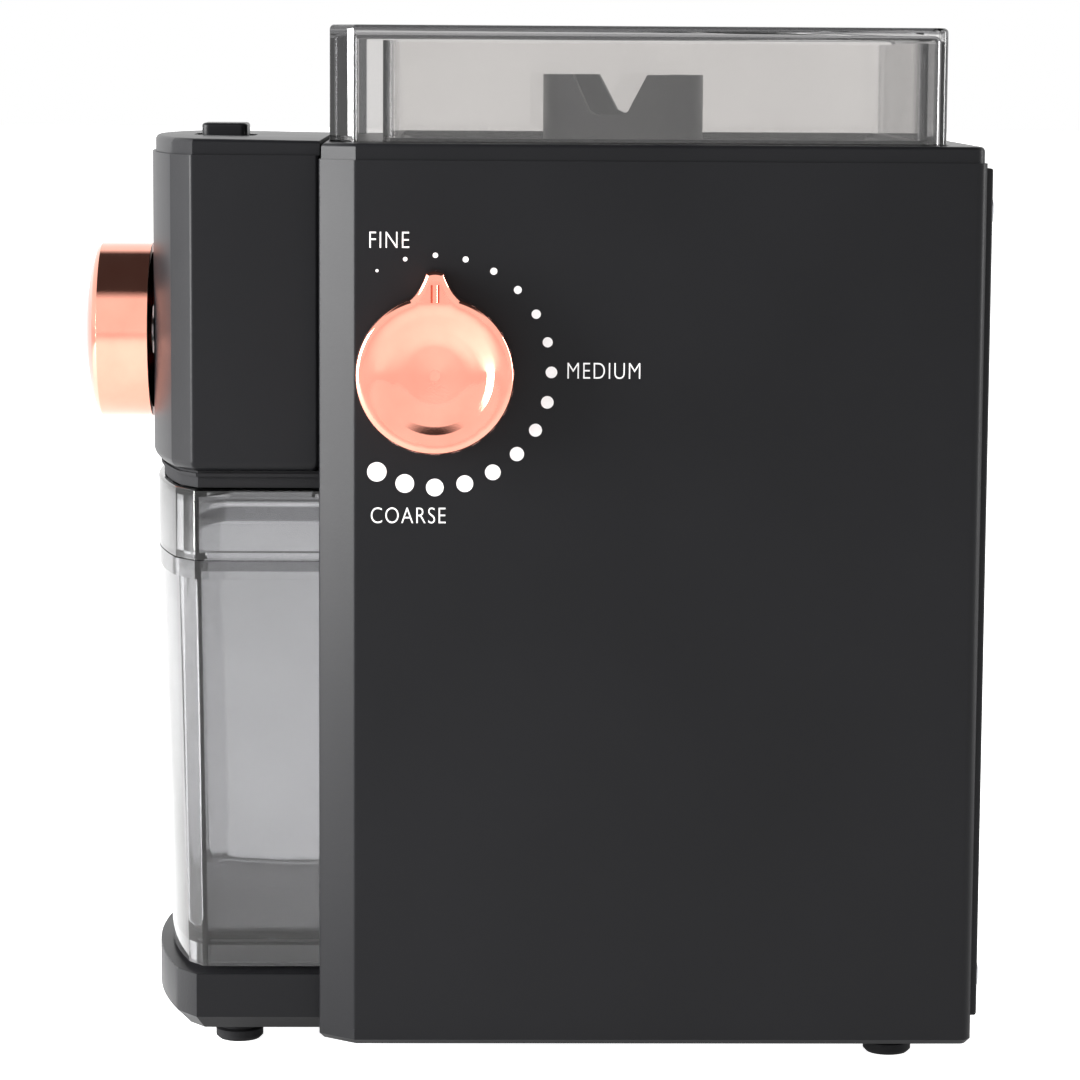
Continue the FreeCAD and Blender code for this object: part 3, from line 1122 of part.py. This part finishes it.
for make in (main_shell, base_plate, feet, base_screws, rear_cover, rear_frame, rear_screws, inlet_bush,
             top_deck, bay_liner, head_shell, head_cover, neck_seal, front_plinth, container_box,
             container_seal, container_lid, grind_knob, knob_shaft, knob_bush, worm_bracket,
             adjusting_ring, chamber_housing, shaft_bearings, burr_shaft, burr_carrier, carrier_nut,
             burr_screws, burr_holder, chute, mechanism_frame, gearbox_housing, gearbox_cover, gear_train,
             motor, circuit_board, hopper_wall, hopper_funnel, hopper_cover, selector_knob,
             selector_shaft, timer_switch, start_button, button_spring, switches):
    make()
burr("lower_burr", "lower_burr_low", "lower_burr_top", False)
burr("upper_burr", "upper_burr_low", "upper_burr_top", True)

doc.recompute()
failed = [f"{thing.Name}: {thing.getStatusString()}" for thing in doc.Objects
          if {"Invalid", "Error"} & set(thing.State)]
if failed:
    raise RuntimeError("\n".join(failed))
failed = [thing.Label for thing in NODES
          if thing.Shape.isNull() or not thing.Shape.isValid() or not thing.Shape.Solids]
if failed:
    raise RuntimeError(f"no valid solid in {failed}")

os.makedirs("parts", exist_ok=True)
for thing in NODES:
    thing.Shape.exportStep(f"parts/{thing.Label}.step")
    box = thing.Shape.BoundBox
    print(f"{thing.Label:20s} solids {len(thing.Shape.Solids):2d} volume {thing.Shape.Volume:9.1f}  "
          f"X {box.XMin:6.1f} {box.XMax:6.1f}  Y {box.YMin:6.1f} {box.YMax:6.1f}  "
          f"Z {box.ZMin:6.1f} {box.ZMax:6.1f}")
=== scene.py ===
# %% [markdown]
# # A burr coffee grinder, finished for a portrait
# The working parts come from a CAD model, and this lesson gives them their looks: satin black mouldings,
# rose-gold knobs, smoked clear plastic and the white print of the grind scale. The first cell loads the
# CAD frame. Every later piece takes its place from that frame, so nothing has to be fitted by eye.

# %% Load the CAD frame
import json
import math

import bmesh
import bpy
from mathutils import Matrix, Vector


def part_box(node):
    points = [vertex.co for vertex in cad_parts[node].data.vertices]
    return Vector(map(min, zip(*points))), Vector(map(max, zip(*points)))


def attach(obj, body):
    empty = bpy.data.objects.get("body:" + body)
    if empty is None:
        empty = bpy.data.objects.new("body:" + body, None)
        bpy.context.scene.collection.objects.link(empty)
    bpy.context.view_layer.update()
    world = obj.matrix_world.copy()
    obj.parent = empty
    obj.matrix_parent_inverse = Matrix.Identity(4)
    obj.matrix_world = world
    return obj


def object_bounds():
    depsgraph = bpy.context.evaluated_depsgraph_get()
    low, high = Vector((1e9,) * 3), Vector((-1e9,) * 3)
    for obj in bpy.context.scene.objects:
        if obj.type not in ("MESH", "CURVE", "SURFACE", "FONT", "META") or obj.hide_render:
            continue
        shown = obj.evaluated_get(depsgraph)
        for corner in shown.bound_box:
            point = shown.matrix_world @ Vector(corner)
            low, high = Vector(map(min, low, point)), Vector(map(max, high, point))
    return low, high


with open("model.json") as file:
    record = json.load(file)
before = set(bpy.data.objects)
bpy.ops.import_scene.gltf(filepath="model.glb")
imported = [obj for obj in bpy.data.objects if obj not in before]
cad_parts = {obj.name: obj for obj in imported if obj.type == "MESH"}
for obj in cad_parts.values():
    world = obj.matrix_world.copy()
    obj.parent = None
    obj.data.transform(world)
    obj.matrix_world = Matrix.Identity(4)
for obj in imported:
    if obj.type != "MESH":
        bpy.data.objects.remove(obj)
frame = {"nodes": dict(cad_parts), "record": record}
cad_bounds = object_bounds()
nodes = frame["nodes"]
scene = bpy.context.scene
MM = 0.001
print("CAD nodes:", len(nodes), "box:", [round(v, 4) for corner in cad_bounds for v in corner])

# %% [markdown]
# ## The camera
# Small products are photographed from far away with a long lens, so that upright edges stay nearly
# upright. The camera stands about a metre to the right of the grinder, a little above its lid, and looks
# down by seven degrees. A yaw, a pitch and a roll build its axes one after the other.

# %% Place the camera
CAMERA_PLACE = Vector((0.97692, -0.02682, 0.24283))
CAMERA_YAW, CAMERA_PITCH, CAMERA_ROLL = -0.0216575, 0.1250326, 0.0062750
CAMERA_LENS, CAMERA_SENSOR = 128.42, 36.0


def camera_turn():
    """The camera's rotation: it looks along -X, then yaws, pitches down and rolls."""
    ahead, right, up = Vector((-1, 0, 0)), Vector((0, 1, 0)), Vector((0, 0, 1))
    yaw = Matrix.Rotation(CAMERA_YAW, 3, "Z")
    ahead, right = yaw @ ahead, yaw @ right
    level_ahead = ahead.copy()
    ahead = math.cos(CAMERA_PITCH) * level_ahead - math.sin(CAMERA_PITCH) * up
    up = math.cos(CAMERA_PITCH) * up + math.sin(CAMERA_PITCH) * level_ahead
    tilted = math.cos(CAMERA_ROLL) * right + math.sin(CAMERA_ROLL) * up
    up = math.cos(CAMERA_ROLL) * up - math.sin(CAMERA_ROLL) * right
    return Matrix((tilted, up, -ahead)).transposed()


camera = bpy.data.objects.new("portrait_camera", bpy.data.cameras.new("portrait_camera"))
scene.collection.objects.link(camera)
camera.data.lens = CAMERA_LENS
camera.data.sensor_width = CAMERA_SENSOR
camera.data.clip_end = 50
camera.matrix_world = Matrix.Translation(CAMERA_PLACE) @ camera_turn().to_4x4()
scene.camera = camera
print("camera stands at", [round(v, 3) for v in camera.location])

# %% [markdown]
# ## Small helpers for shader nodes
# A material is a graph of small steps. These helpers add a step and join it in one line, so that each
# finish below reads like a recipe. Every pattern starts from Object coordinates, because the pieces never
# move inside their own space and the pattern then stays put on the plastic.

# %% Node helpers


def feed(tree, socket, value):
    """Joins an input to another step's output, or sets its plain value."""
    if isinstance(value, bpy.types.NodeSocket):
        tree.links.new(value, socket)
    else:
        socket.default_value = value


def step(tree, kind, **values):
    """Adds a shader step. From_Min feeds the input "From Min", and other names may be properties."""
    made = tree.nodes.new(kind)
    for name, value in values.items():
        if hasattr(made, name) and name not in made.inputs:
            setattr(made, name, value)
        else:
            feed(tree, made.inputs[name.replace("_", " ")], value)
    return made


def maths(tree, operation, *terms):
    """The result of one Math step on sockets or numbers."""
    made = step(tree, "ShaderNodeMath", operation=operation)
    for socket, term in zip(made.inputs, terms):
        feed(tree, socket, term)
    return made.outputs[0]


def mapped(tree, value, start, end):
    """A value brought from the range start to end onto 0 to 1, and held there."""
    spread = step(tree, "ShaderNodeMapRange", Value=value, From_Min=start, From_Max=end)
    return spread.outputs["Result"]


MIX_FIRST, MIX_SECOND, MIX_RESULT = 6, 7, 2  # where a Mix step keeps its colour sockets


def mixed(tree, share, first, second):
    """A colour between two colours. Each is a triple or a socket."""
    made = step(tree, "ShaderNodeMix", data_type="RGBA", Factor=share)
    for place, colour in ((MIX_FIRST, first), (MIX_SECOND, second)):
        feed(tree, made.inputs[place], (*colour, 1) if isinstance(colour, tuple) else colour)
    return made.outputs[MIX_RESULT]


def bumped(tree, shader, height, strength, relief):
    """Lets a height pattern tilt the surface."""
    bump = step(tree, "ShaderNodeBump", Strength=strength, Distance=relief, Height=height)
    tree.links.new(bump.outputs["Normal"], shader.inputs["Normal"])


def object_places(tree):
    """A point's place in its piece's own space."""
    return tree.nodes.new("ShaderNodeTexCoord").outputs["Object"]


def blank_material(name):
    """A material with only a Principled shader and its output."""
    material = bpy.data.materials.new(name)
    material.use_nodes = True
    tree = material.node_tree
    shader = next(n for n in tree.nodes if n.type == "BSDF_PRINCIPLED")
    return material, tree, shader


def effect_group(name, inputs, outputs):
    """An empty shader group with named inputs and outputs."""
    group = bpy.data.node_groups.new(name, "ShaderNodeTree")
    for label, kind, value in inputs:
        socket = group.interface.new_socket(label, in_out="INPUT", socket_type=kind)
        if value is not None:
            socket.default_value = value
    for label, kind in outputs:
        group.interface.new_socket(label, in_out="OUTPUT", socket_type=kind)
    return group, group.nodes.new("NodeGroupInput").outputs, group.nodes.new("NodeGroupOutput").inputs


def use_group(tree, group, **values):
    """Adds one use of a shader group and returns its outputs."""
    made = tree.nodes.new("ShaderNodeGroup")
    made.node_tree = group
    for name, value in values.items():
        feed(tree, made.inputs[name], value)
    return made.outputs


print("helpers are ready")

# %% [markdown]
# ## Effects that several finishes share
# Moulded plastic is never perfectly even. The mould is spark-eroded, which leaves a fine pebbled grain,
# and the surface carries soft, wide differences of sheen. Metal that has been turned or drawn has fine
# lines instead. Each effect is one group, built once and used with different numbers in each material.

# %% Build the mould grain, sheen drift and turned lines
CLOUD_SPREAD = (0.3, 0.7)  # the part of the noise's range that the sheen's drift uses
LINE_STRETCH = (0.02, 0.02, 1.0)  # squeezes a noise into lines across Z


def make_mould_grain():
    """A pebbled height for a Bump step, at a scale in pebbles per metre."""
    group, given, result = effect_group("mould_grain", [("Place", "NodeSocketVector", None),
                                                        ("Scale", "NodeSocketFloat", 1400.0)],
                                        [("Height", "NodeSocketFloat")])
    fine = step(group, "ShaderNodeTexNoise", Vector=given["Place"], Scale=given["Scale"], Detail=2.0)
    pebble = step(group, "ShaderNodeTexVoronoi", Vector=given["Place"], Scale=given["Scale"],
                  feature="SMOOTH_F1")
    both = maths(group, "ADD", fine.outputs["Fac"], pebble.outputs["Distance"])
    group.links.new(both, result["Height"])
    return group


def make_sheen_drift():
    """A slow change over the surface: a mask from 0 to 1, and a roughness between two values."""
    group, given, result = effect_group("sheen_drift", [("Place", "NodeSocketVector", None),
                                                        ("Scale", "NodeSocketFloat", 14.0),
                                                        ("Low", "NodeSocketFloat", 0.3),
                                                        ("High", "NodeSocketFloat", 0.4)],
                                        [("Mask", "NodeSocketFloat"), ("Roughness", "NodeSocketFloat")])
    cloud = step(group, "ShaderNodeTexNoise", Vector=given["Place"], Scale=given["Scale"], Detail=4.0)
    mask = mapped(group, cloud.outputs["Fac"], *CLOUD_SPREAD)
    rough = step(group, "ShaderNodeMapRange", Value=mask, To_Min=given["Low"], To_Max=given["High"])
    group.links.new(mask, result["Mask"])
    group.links.new(rough.outputs["Result"], result["Roughness"])
    return group


def make_turned_lines():
    """Fine lines across one axis, as a lathe or a drawing die leaves them."""
    group, given, result = effect_group("turned_lines", [("Place", "NodeSocketVector", None),
                                                         ("Scale", "NodeSocketFloat", 600.0)],
                                        [("Height", "NodeSocketFloat")])
    squeeze = step(group, "ShaderNodeMapping", Vector=given["Place"], Scale=LINE_STRETCH)
    lines = step(group, "ShaderNodeTexNoise", Vector=squeeze.outputs["Vector"], Scale=given["Scale"],
                 Detail=3.0)
    group.links.new(lines.outputs["Fac"], result["Height"])
    return group


mould_grain = make_mould_grain()
sheen_drift = make_sheen_drift()
turned_lines = make_turned_lines()
print("effect groups:", mould_grain.name, sheen_drift.name, turned_lines.name)

# %% [markdown]
# ## Opaque plastics and rubbers
# The body is satin charcoal plastic, so it needs a dark colour, a middling roughness that drifts a little
# and the mould grain as a faint bump. The same recipe with other numbers gives the grey burr grip, the
# black funnel, the nylon gears and the rubber feet, so it is one function.

# %% Make the moulded finishes
MOULD_RELIEF = 0.2 * MM


def moulded(name, dark, light, rough, grain_scale=1500.0, grain_depth=0.04, drift=14.0, shine=0.35):
    """A moulded material between two close colours, with a roughness that drifts between two values."""
    material, tree, shader = blank_material(name)
    place = object_places(tree)
    sheen = use_group(tree, sheen_drift, Place=place, Scale=drift, Low=rough[0], High=rough[1])
    tree.links.new(mixed(tree, sheen["Mask"], dark, light), shader.inputs["Base Color"])
    tree.links.new(sheen["Roughness"], shader.inputs["Roughness"])
    grain = use_group(tree, mould_grain, Place=place, Scale=grain_scale)
    bumped(tree, shader, grain["Height"], grain_depth, MOULD_RELIEF)
    shader.inputs["Specular IOR Level"].default_value = shine
    return material


finishes = {
    "body_black": moulded("satin_charcoal", (0.0062, 0.0063, 0.0072), (0.0078, 0.0079, 0.0090), (0.32, 0.38),
                          shine=0.13),
    "grip_grey": moulded("grip_grey", (0.060, 0.060, 0.064), (0.072, 0.072, 0.076), (0.34, 0.42)),
    "funnel_black": moulded("funnel_black", (0.010, 0.010, 0.011), (0.014, 0.014, 0.015), (0.42, 0.52)),
    "rubber_black": moulded("soft_rubber", (0.008, 0.008, 0.009), (0.013, 0.013, 0.014), (0.62, 0.74),
                            2400.0, 0.12, shine=0.12),
    "gear_nylon": moulded("gear_nylon", (0.68, 0.66, 0.58), (0.74, 0.72, 0.65), (0.34, 0.44), 1200.0),
    "switch_black": moulded("switch_black", (0.018, 0.018, 0.020), (0.026, 0.026, 0.028), (0.28, 0.36)),
    "board_green": moulded("board_green", (0.006, 0.050, 0.020), (0.010, 0.075, 0.030), (0.22, 0.34), 900.0),
}
print("moulded finishes:", sorted(finishes))

# %% [markdown]
# ## Metals
# Steel pins, screws and the motor can are bare metal with fine lines round them, as a lathe leaves, and
# the bushes are bronze. The two knobs only look like metal: they are plastic with a vacuum-deposited
# rose-gold film, so their colour is coppery, their gloss is high and a fine pebble breaks up reflections.

# %% Make the metal finishes
METAL_RELIEF = 0.1 * MM
METAL_DRIFT, METAL_LINES, METAL_BUMP = 60.0, 700.0, 0.05
FILM_DRIFT, FILM_PEBBLES, FILM_BUMP = 90.0, 2600.0, 0.035


def metal(name, dark, light, rough, drift):
    """A metal between two close colours. It returns its material, its graph and where patterns start."""
    material, tree, shader = blank_material(name)
    place = object_places(tree)
    shader.inputs["Metallic"].default_value = 1.0
    sheen = use_group(tree, sheen_drift, Place=place, Scale=drift, Low=rough[0], High=rough[1])
    tree.links.new(mixed(tree, sheen["Mask"], dark, light), shader.inputs["Base Color"])
    tree.links.new(sheen["Roughness"], shader.inputs["Roughness"])
    return material, tree, shader, place


def drawn_metal(name, dark, light, rough):
    """A bare metal with fine lines in its gloss."""
    material, tree, shader, place = metal(name, dark, light, rough, METAL_DRIFT)
    lines = use_group(tree, turned_lines, Place=place, Scale=METAL_LINES)
    bumped(tree, shader, lines["Height"], METAL_BUMP, METAL_RELIEF)
    return material


def metal_film(name, dark, light, rough):
    """Vacuum-metallised plastic: glossy and very finely pebbled."""
    material, tree, shader, place = metal(name, dark, light, rough, FILM_DRIFT)
    grain = use_group(tree, mould_grain, Place=place, Scale=FILM_PEBBLES)
    bumped(tree, shader, grain["Height"], FILM_BUMP, METAL_RELIEF)
    return material


finishes["rose_gold"] = metal_film("rose_gold_film", (0.86, 0.34, 0.25), (0.90, 0.39, 0.29), (0.06, 0.11))
finishes["screw_steel"] = drawn_metal("screw_steel", (0.42, 0.43, 0.45), (0.52, 0.53, 0.55), (0.26, 0.36))
finishes["burr_steel"] = drawn_metal("burr_steel", (0.32, 0.33, 0.35), (0.42, 0.43, 0.45), (0.22, 0.34))
finishes["motor_steel"] = drawn_metal("motor_steel", (0.34, 0.35, 0.36), (0.44, 0.45, 0.46), (0.30, 0.42))
finishes["bush_brass"] = drawn_metal("bush_bronze", (0.62, 0.42, 0.16), (0.72, 0.50, 0.20), (0.26, 0.38))
print("metal finishes are ready")

# %% [markdown]
# ## Clear plastics
# The container and the cover over the beans are clear plastic with a little smoke in it. Light bends at
# each wall, so the material is fully transmissive with the index of styrene plastic, and a slow drift in
# the gloss stands for the faint flow lines of the moulding. Light that runs along a wall is swallowed on
# its way, so real clear mouldings look dark at their edges. The material can't follow that light, so shade
# is painted into its colour: each piece is darker where it turns away from its two sides, and in the top
# plates of lid and cover.

# %% Make the clear finishes
STYRENE_INDEX, SILICONE_INDEX = 1.5, 1.41
CLEAR_DRIFT, CLEAR_GLOSS = 26.0, (0.012, 0.03)
FLOW_LINES, FLOW_BUMP = 90.0, 0.004
SIDE_OPENS = (0.25, 0.7)  # how far a face turns to the side, as the X of its normal, while it clears
COVER_OPENS = (0.75, 0.92)
PLATE_FADE = 0.3 * MM
LID_PLATE, COVER_PLATE = 3.2 * MM, 1.6 * MM


def clear_plastic(name, dark, light, painted_edge_shade, opens=SIDE_OPENS, plate=None, index=STYRENE_INDEX):
    """Smoky plastic: clear through its sides, with painted shade where light would travel along its walls.
    """
    material, tree, shader = blank_material(name)
    place = object_places(tree)
    shader.inputs["Transmission Weight"].default_value = 1.0
    shader.inputs["IOR"].default_value = index
    sheen = use_group(tree, sheen_drift, Place=place, Scale=CLEAR_DRIFT, Low=CLEAR_GLOSS[0],
                      High=CLEAR_GLOSS[1])
    facing = step(tree, "ShaderNodeSeparateXYZ", Vector=place.node.outputs["Normal"])
    clear = mapped(tree, maths(tree, "ABSOLUTE", facing.outputs["X"]), *opens)
    if plate:
        level = step(tree, "ShaderNodeSeparateXYZ", Vector=place)
        clear = maths(tree, "MINIMUM", clear, mapped(tree, level.outputs["Z"], *plate))
    # Painted shade: the edge colour takes over where a face turns away from the sides or lies in a top
    # plate.
    tint_and_painted_edge_shade = mixed(tree, clear, painted_edge_shade, mixed(tree, sheen["Mask"], dark, light))
    tree.links.new(tint_and_painted_edge_shade, shader.inputs["Base Color"])
    tree.links.new(sheen["Roughness"], shader.inputs["Roughness"])
    lines = use_group(tree, turned_lines, Place=place, Scale=FLOW_LINES)
    bumped(tree, shader, lines["Height"], FLOW_BUMP, MOULD_RELIEF)
    return material


def plate_levels(name, thick):
    """The heights, in the node's own space, between which the painted shade of the top plate fades into the
    clear plastic below it.
    """
    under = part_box(name)[1].z - thick - nodes[name].matrix_world.translation.z
    return under + PLATE_FADE, under - PLATE_FADE


# The third colour of each clear finish is painted shade, which its edges and top plates take on.
finishes["clear_smoke"] = clear_plastic("clear_smoke", (0.44, 0.44, 0.45), (0.48, 0.48, 0.49),
                                        (0.24, 0.24, 0.25))
finishes["lid_smoke"] = clear_plastic("lid_smoke", (0.54, 0.54, 0.55), (0.58, 0.58, 0.59),
                                      (0.2, 0.2, 0.205), plate=plate_levels("container_lid", LID_PLATE))
finishes["dark_smoke"] = clear_plastic("dark_smoke", (0.79, 0.78, 0.775), (0.82, 0.81, 0.805),
                                       (0.09, 0.09, 0.093), COVER_OPENS,
                                       plate_levels("hopper_cover", COVER_PLATE))
finishes["hopper_clear"] = clear_plastic("hopper_clear", (0.92, 0.91, 0.90), (0.94, 0.93, 0.92),
                                         (0.5, 0.5, 0.5))
finishes["seal_clear"] = clear_plastic("seal_silicone", (0.60, 0.60, 0.61), (0.66, 0.66, 0.67),
                                       (0.3, 0.3, 0.3), index=SILICONE_INDEX)
print("clear finishes are ready")

# %% [markdown]
# ## Dress the CAD nodes
# Each node names a material slot in its record, so one loop dresses them all, with a finish of their own
# for the hopper's wall and the container's lid. The nodes arrive as loose triangles. A Weld modifier
# joins them, and an Edge Split keeps the real corners sharp, so that round parts shade smoothly without
# any change to the CAD mesh itself.

# %% Give every CAD node its finish
SMOOTH_ANGLE = math.radians(32)
WELD_REACH = 0.01 * MM
OWN_FINISH = {"hopper_wall": "hopper_clear", "container_lid": "lid_smoke"}
slot_of = {part["node"]: part["material_slot"] for part in frame["record"]["subparts"]}
for name, node in nodes.items():
    node.data.materials.clear()
    node.data.materials.append(finishes[OWN_FINISH.get(name, slot_of[name])])
    node.data.polygons.foreach_set("use_smooth", [True] * len(node.data.polygons))
    weld = node.modifiers.new("weld", "WELD")
    weld.merge_threshold = WELD_REACH
    corners = node.modifiers.new("corners", "EDGE_SPLIT")
    corners.split_angle = SMOOTH_ANGLE
print("dressed", len(nodes), "nodes")

# %% [markdown]
# ## The printed grind scale
# The scale beside the grind knob is pad-printed in white: seventeen dots that grow from fine to coarse
# round three quarters of a turn, and three words. A print is a few hundredths of a millimetre of ink, so
# each dot is a thin disc that stands just proud of the shell. The dots sit on an arc about the knob.

# %% Print the dots
shell_low, shell_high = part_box("main_shell")
knob_low, knob_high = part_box("grind_knob")
body_side = shell_high.x
knob_radius = (knob_high.y - knob_low.y) / 2  # its pointer reaches higher than its round grip
knob_middle = Vector((body_side, (knob_low.y + knob_high.y) / 2, knob_low.z + knob_radius))
INK = 0.03 * MM
SAME_SPOT = 1e-7
DOT_RING = 27.6 * MM
# The dots' diameters in millimetres, from fine to coarse.
DOT_SIZES = (0.74, 1.06, 1.27, 1.43, 1.7, 1.9, 2.2, 2.4, 2.75, 3.0, 3.1, 3.4, 3.75, 4.0, 4.2, 4.45, 4.65)
FIRST_DOT, DOT_STEP = math.radians(-30), math.radians(15)
DOT_SIDES = 32


def finish_mesh(shape, name, material, body):
    """Turns a bmesh into a piece with outward faces, and lets it ride on a body."""
    bmesh.ops.remove_doubles(shape, verts=shape.verts, dist=SAME_SPOT)
    bmesh.ops.recalc_face_normals(shape, faces=shape.faces)
    mesh = bpy.data.meshes.new(name)
    shape.to_mesh(mesh)
    shape.free()
    piece = bpy.data.objects.new(name, mesh)
    scene.collection.objects.link(piece)
    mesh.materials.append(material)
    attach(piece, body)
    return piece


# Pad-printing ink is matt, with a slightly uneven lay.
white_ink = moulded("print_white", (0.80, 0.80, 0.80), (0.88, 0.88, 0.88), (0.45, 0.60),
                    grain_scale=2600.0, grain_depth=0.05, drift=200.0)
dots = bmesh.new()
for index, size in enumerate(DOT_SIZES):
    turn = FIRST_DOT + index * DOT_STEP
    spot = knob_middle + DOT_RING * Vector((0, math.sin(turn), math.cos(turn)))
    disc = bmesh.ops.create_cone(dots, cap_ends=True, segments=DOT_SIDES, radius1=size * MM / 2,
                                 radius2=size * MM / 2, depth=2 * INK)
    lay = Matrix.Translation(spot) @ Matrix.Rotation(math.radians(90), 4, "Y")
    bmesh.ops.transform(dots, matrix=lay, verts=disc["verts"])
finish_mesh(dots, "scale_dots", white_ink, "housing")
print("printed", len(DOT_SIZES), "dots about", [round(v, 4) for v in knob_middle])

# %% [markdown]
# ## The three words
# The lettering is a plain narrow sans. A text curve gives clean outlines, which are then turned into a
# mesh, and each of its points is laid on the shell's side. The built-in font is wider and heavier than
# the print, so its strokes are thinned and each word is squeezed to the width that the print has.

# %% Print the words
# Each word with its left end, its right end and its base line, in millimetres.
WORDS = (("FINE", -47.8, -38.4, 197.6), ("MEDIUM", -0.8, 16.5, 166.8), ("COARSE", -47.4, -29.6, 132.1))
CAP_HEIGHT = 3.8 * MM
CURVE_STEPS, LETTER_DEPTH = 6, 0.5
STROKE_OFFSET, LETTER_SPACE = -0.012, 1.12


def print_word(text, left, right, base):
    """A word in ink between two ends on the shell's side."""
    curve = bpy.data.curves.new("word_" + text.lower(), "FONT")
    curve.body = text
    curve.resolution_u = CURVE_STEPS
    curve.extrude = LETTER_DEPTH
    curve.offset = STROKE_OFFSET
    curve.space_character = LETTER_SPACE
    made = bpy.data.objects.new("word", curve)
    mesh = bpy.data.meshes.new_from_object(made)
    bpy.data.objects.remove(made)
    shape = bmesh.new()
    shape.from_mesh(mesh)
    xs = [v.co.x for v in shape.verts]
    ys = [v.co.y for v in shape.verts]
    wide = (right - left) * MM / (max(xs) - min(xs))
    tall = CAP_HEIGHT / (max(ys) - min(ys))
    for vert in shape.verts:
        x, y, depth = vert.co
        vert.co = (body_side + depth / LETTER_DEPTH * INK, left * MM + (x - min(xs)) * wide,
                   base * MM + (y - min(ys)) * tall)
    return finish_mesh(shape, "word_" + text.lower(), white_ink, "housing")


words = [print_word(*word) for word in WORDS]
print("printed", [word.name for word in words])

# %% [markdown]
# ## Studio and floor
# A dark object shows its shape by what it reflects. Here it stands in a bright white room with a dark
# ceiling, so upright faces take a pale sheen and the tops stay dark. A large soft panel in front of it and
# a narrow one behind it draw the bands along its edges. To the camera, the floor shines white like a
# sweep of paper. In reflections it is dimmer, so that the lower edges keep some shade.

# %% Build the studio
# Each panel with its place and its size in metres and its power in watts.
PANELS = (
    ("panel_front", (0.30, -1.1, 0.3), (0.8, 0.9), 55),
    ("panel_rear", (0.02, 1.2, 0.3), (0.3, 0.9), 10),
)
FLOOR_REACH, FLOOR_GREY, FLOOR_GLOW = 12, 0.7, 0.55
ROOM_GLOW, CEILING_GLOW, BACKDROP_GLOW = 1.35, 0.06, 1.0
CEILING_EDGE = (0.70, 0.82)  # the room darkens between these heights on a sphere of radius 1
WHITE = (1, 1, 1, 1)
object_middle = (cad_bounds[0] + cad_bounds[1]) / 2


def soft_panel(name, place, size, power):
    """A rectangular lamp that faces the grinder."""
    lamp = bpy.data.lights.new(name, "AREA")
    lamp.shape = "RECTANGLE"
    lamp.size, lamp.size_y = size
    lamp.energy = power
    panel = bpy.data.objects.new(name, lamp)
    scene.collection.objects.link(panel)
    panel.location = place
    panel.rotation_euler = (object_middle - Vector(place)).to_track_quat("-Z", "Y").to_euler()


def floor_finish():
    """Matt grey that shines white to the camera and more dimly in reflections."""
    material, tree, shader = blank_material("pale_floor")
    shader.inputs["Base Color"].default_value = (FLOOR_GREY, FLOOR_GREY, FLOOR_GREY, 1)
    shader.inputs["Roughness"].default_value = 1.0
    shader.inputs["Emission Color"].default_value = WHITE
    ray = tree.nodes.new("ShaderNodeLightPath").outputs
    reflected = maths(tree, "MULTIPLY", ray["Is Glossy Ray"], FLOOR_GLOW)
    glow = maths(tree, "MAXIMUM", ray["Is Camera Ray"], reflected)
    tree.links.new(glow, shader.inputs["Emission Strength"])
    return material


def light_room():
    """A bright room with a dark ceiling, behind which the camera sees plain white."""
    world = bpy.data.worlds.new("studio")
    scene.world = world
    world.use_nodes = True
    air = world.node_tree
    backdrop = next(n for n in air.nodes if n.type == "BACKGROUND")
    backdrop.inputs["Color"].default_value = WHITE
    direction = air.nodes.new("ShaderNodeTexCoord").outputs["Generated"]
    height = step(air, "ShaderNodeSeparateXYZ", Vector=direction).outputs["Z"]
    room = step(air, "ShaderNodeMapRange", Value=height, From_Min=CEILING_EDGE[0], From_Max=CEILING_EDGE[1],
                To_Min=ROOM_GLOW, To_Max=CEILING_GLOW)
    ray = air.nodes.new("ShaderNodeLightPath").outputs
    straight = maths(air, "MAXIMUM", ray["Is Camera Ray"], ray["Is Transmission Ray"])
    seen = step(air, "ShaderNodeMapRange", Value=straight, To_Min=room.outputs["Result"],
                To_Max=BACKDROP_GLOW)
    air.links.new(seen.outputs["Result"], backdrop.inputs["Strength"])


for panel in PANELS:
    soft_panel(*panel)

floor_shape = bmesh.new()
bmesh.ops.create_grid(floor_shape, x_segments=1, y_segments=1, size=FLOOR_REACH)
floor_mesh = bpy.data.meshes.new("floor")
floor_shape.to_mesh(floor_mesh)
floor_shape.free()
floor = bpy.data.objects.new("floor", floor_mesh)
scene.collection.objects.link(floor)
floor_mesh.materials.append(floor_finish())

light_room()
scene.view_settings.view_transform = "Standard"
print("studio is ready")
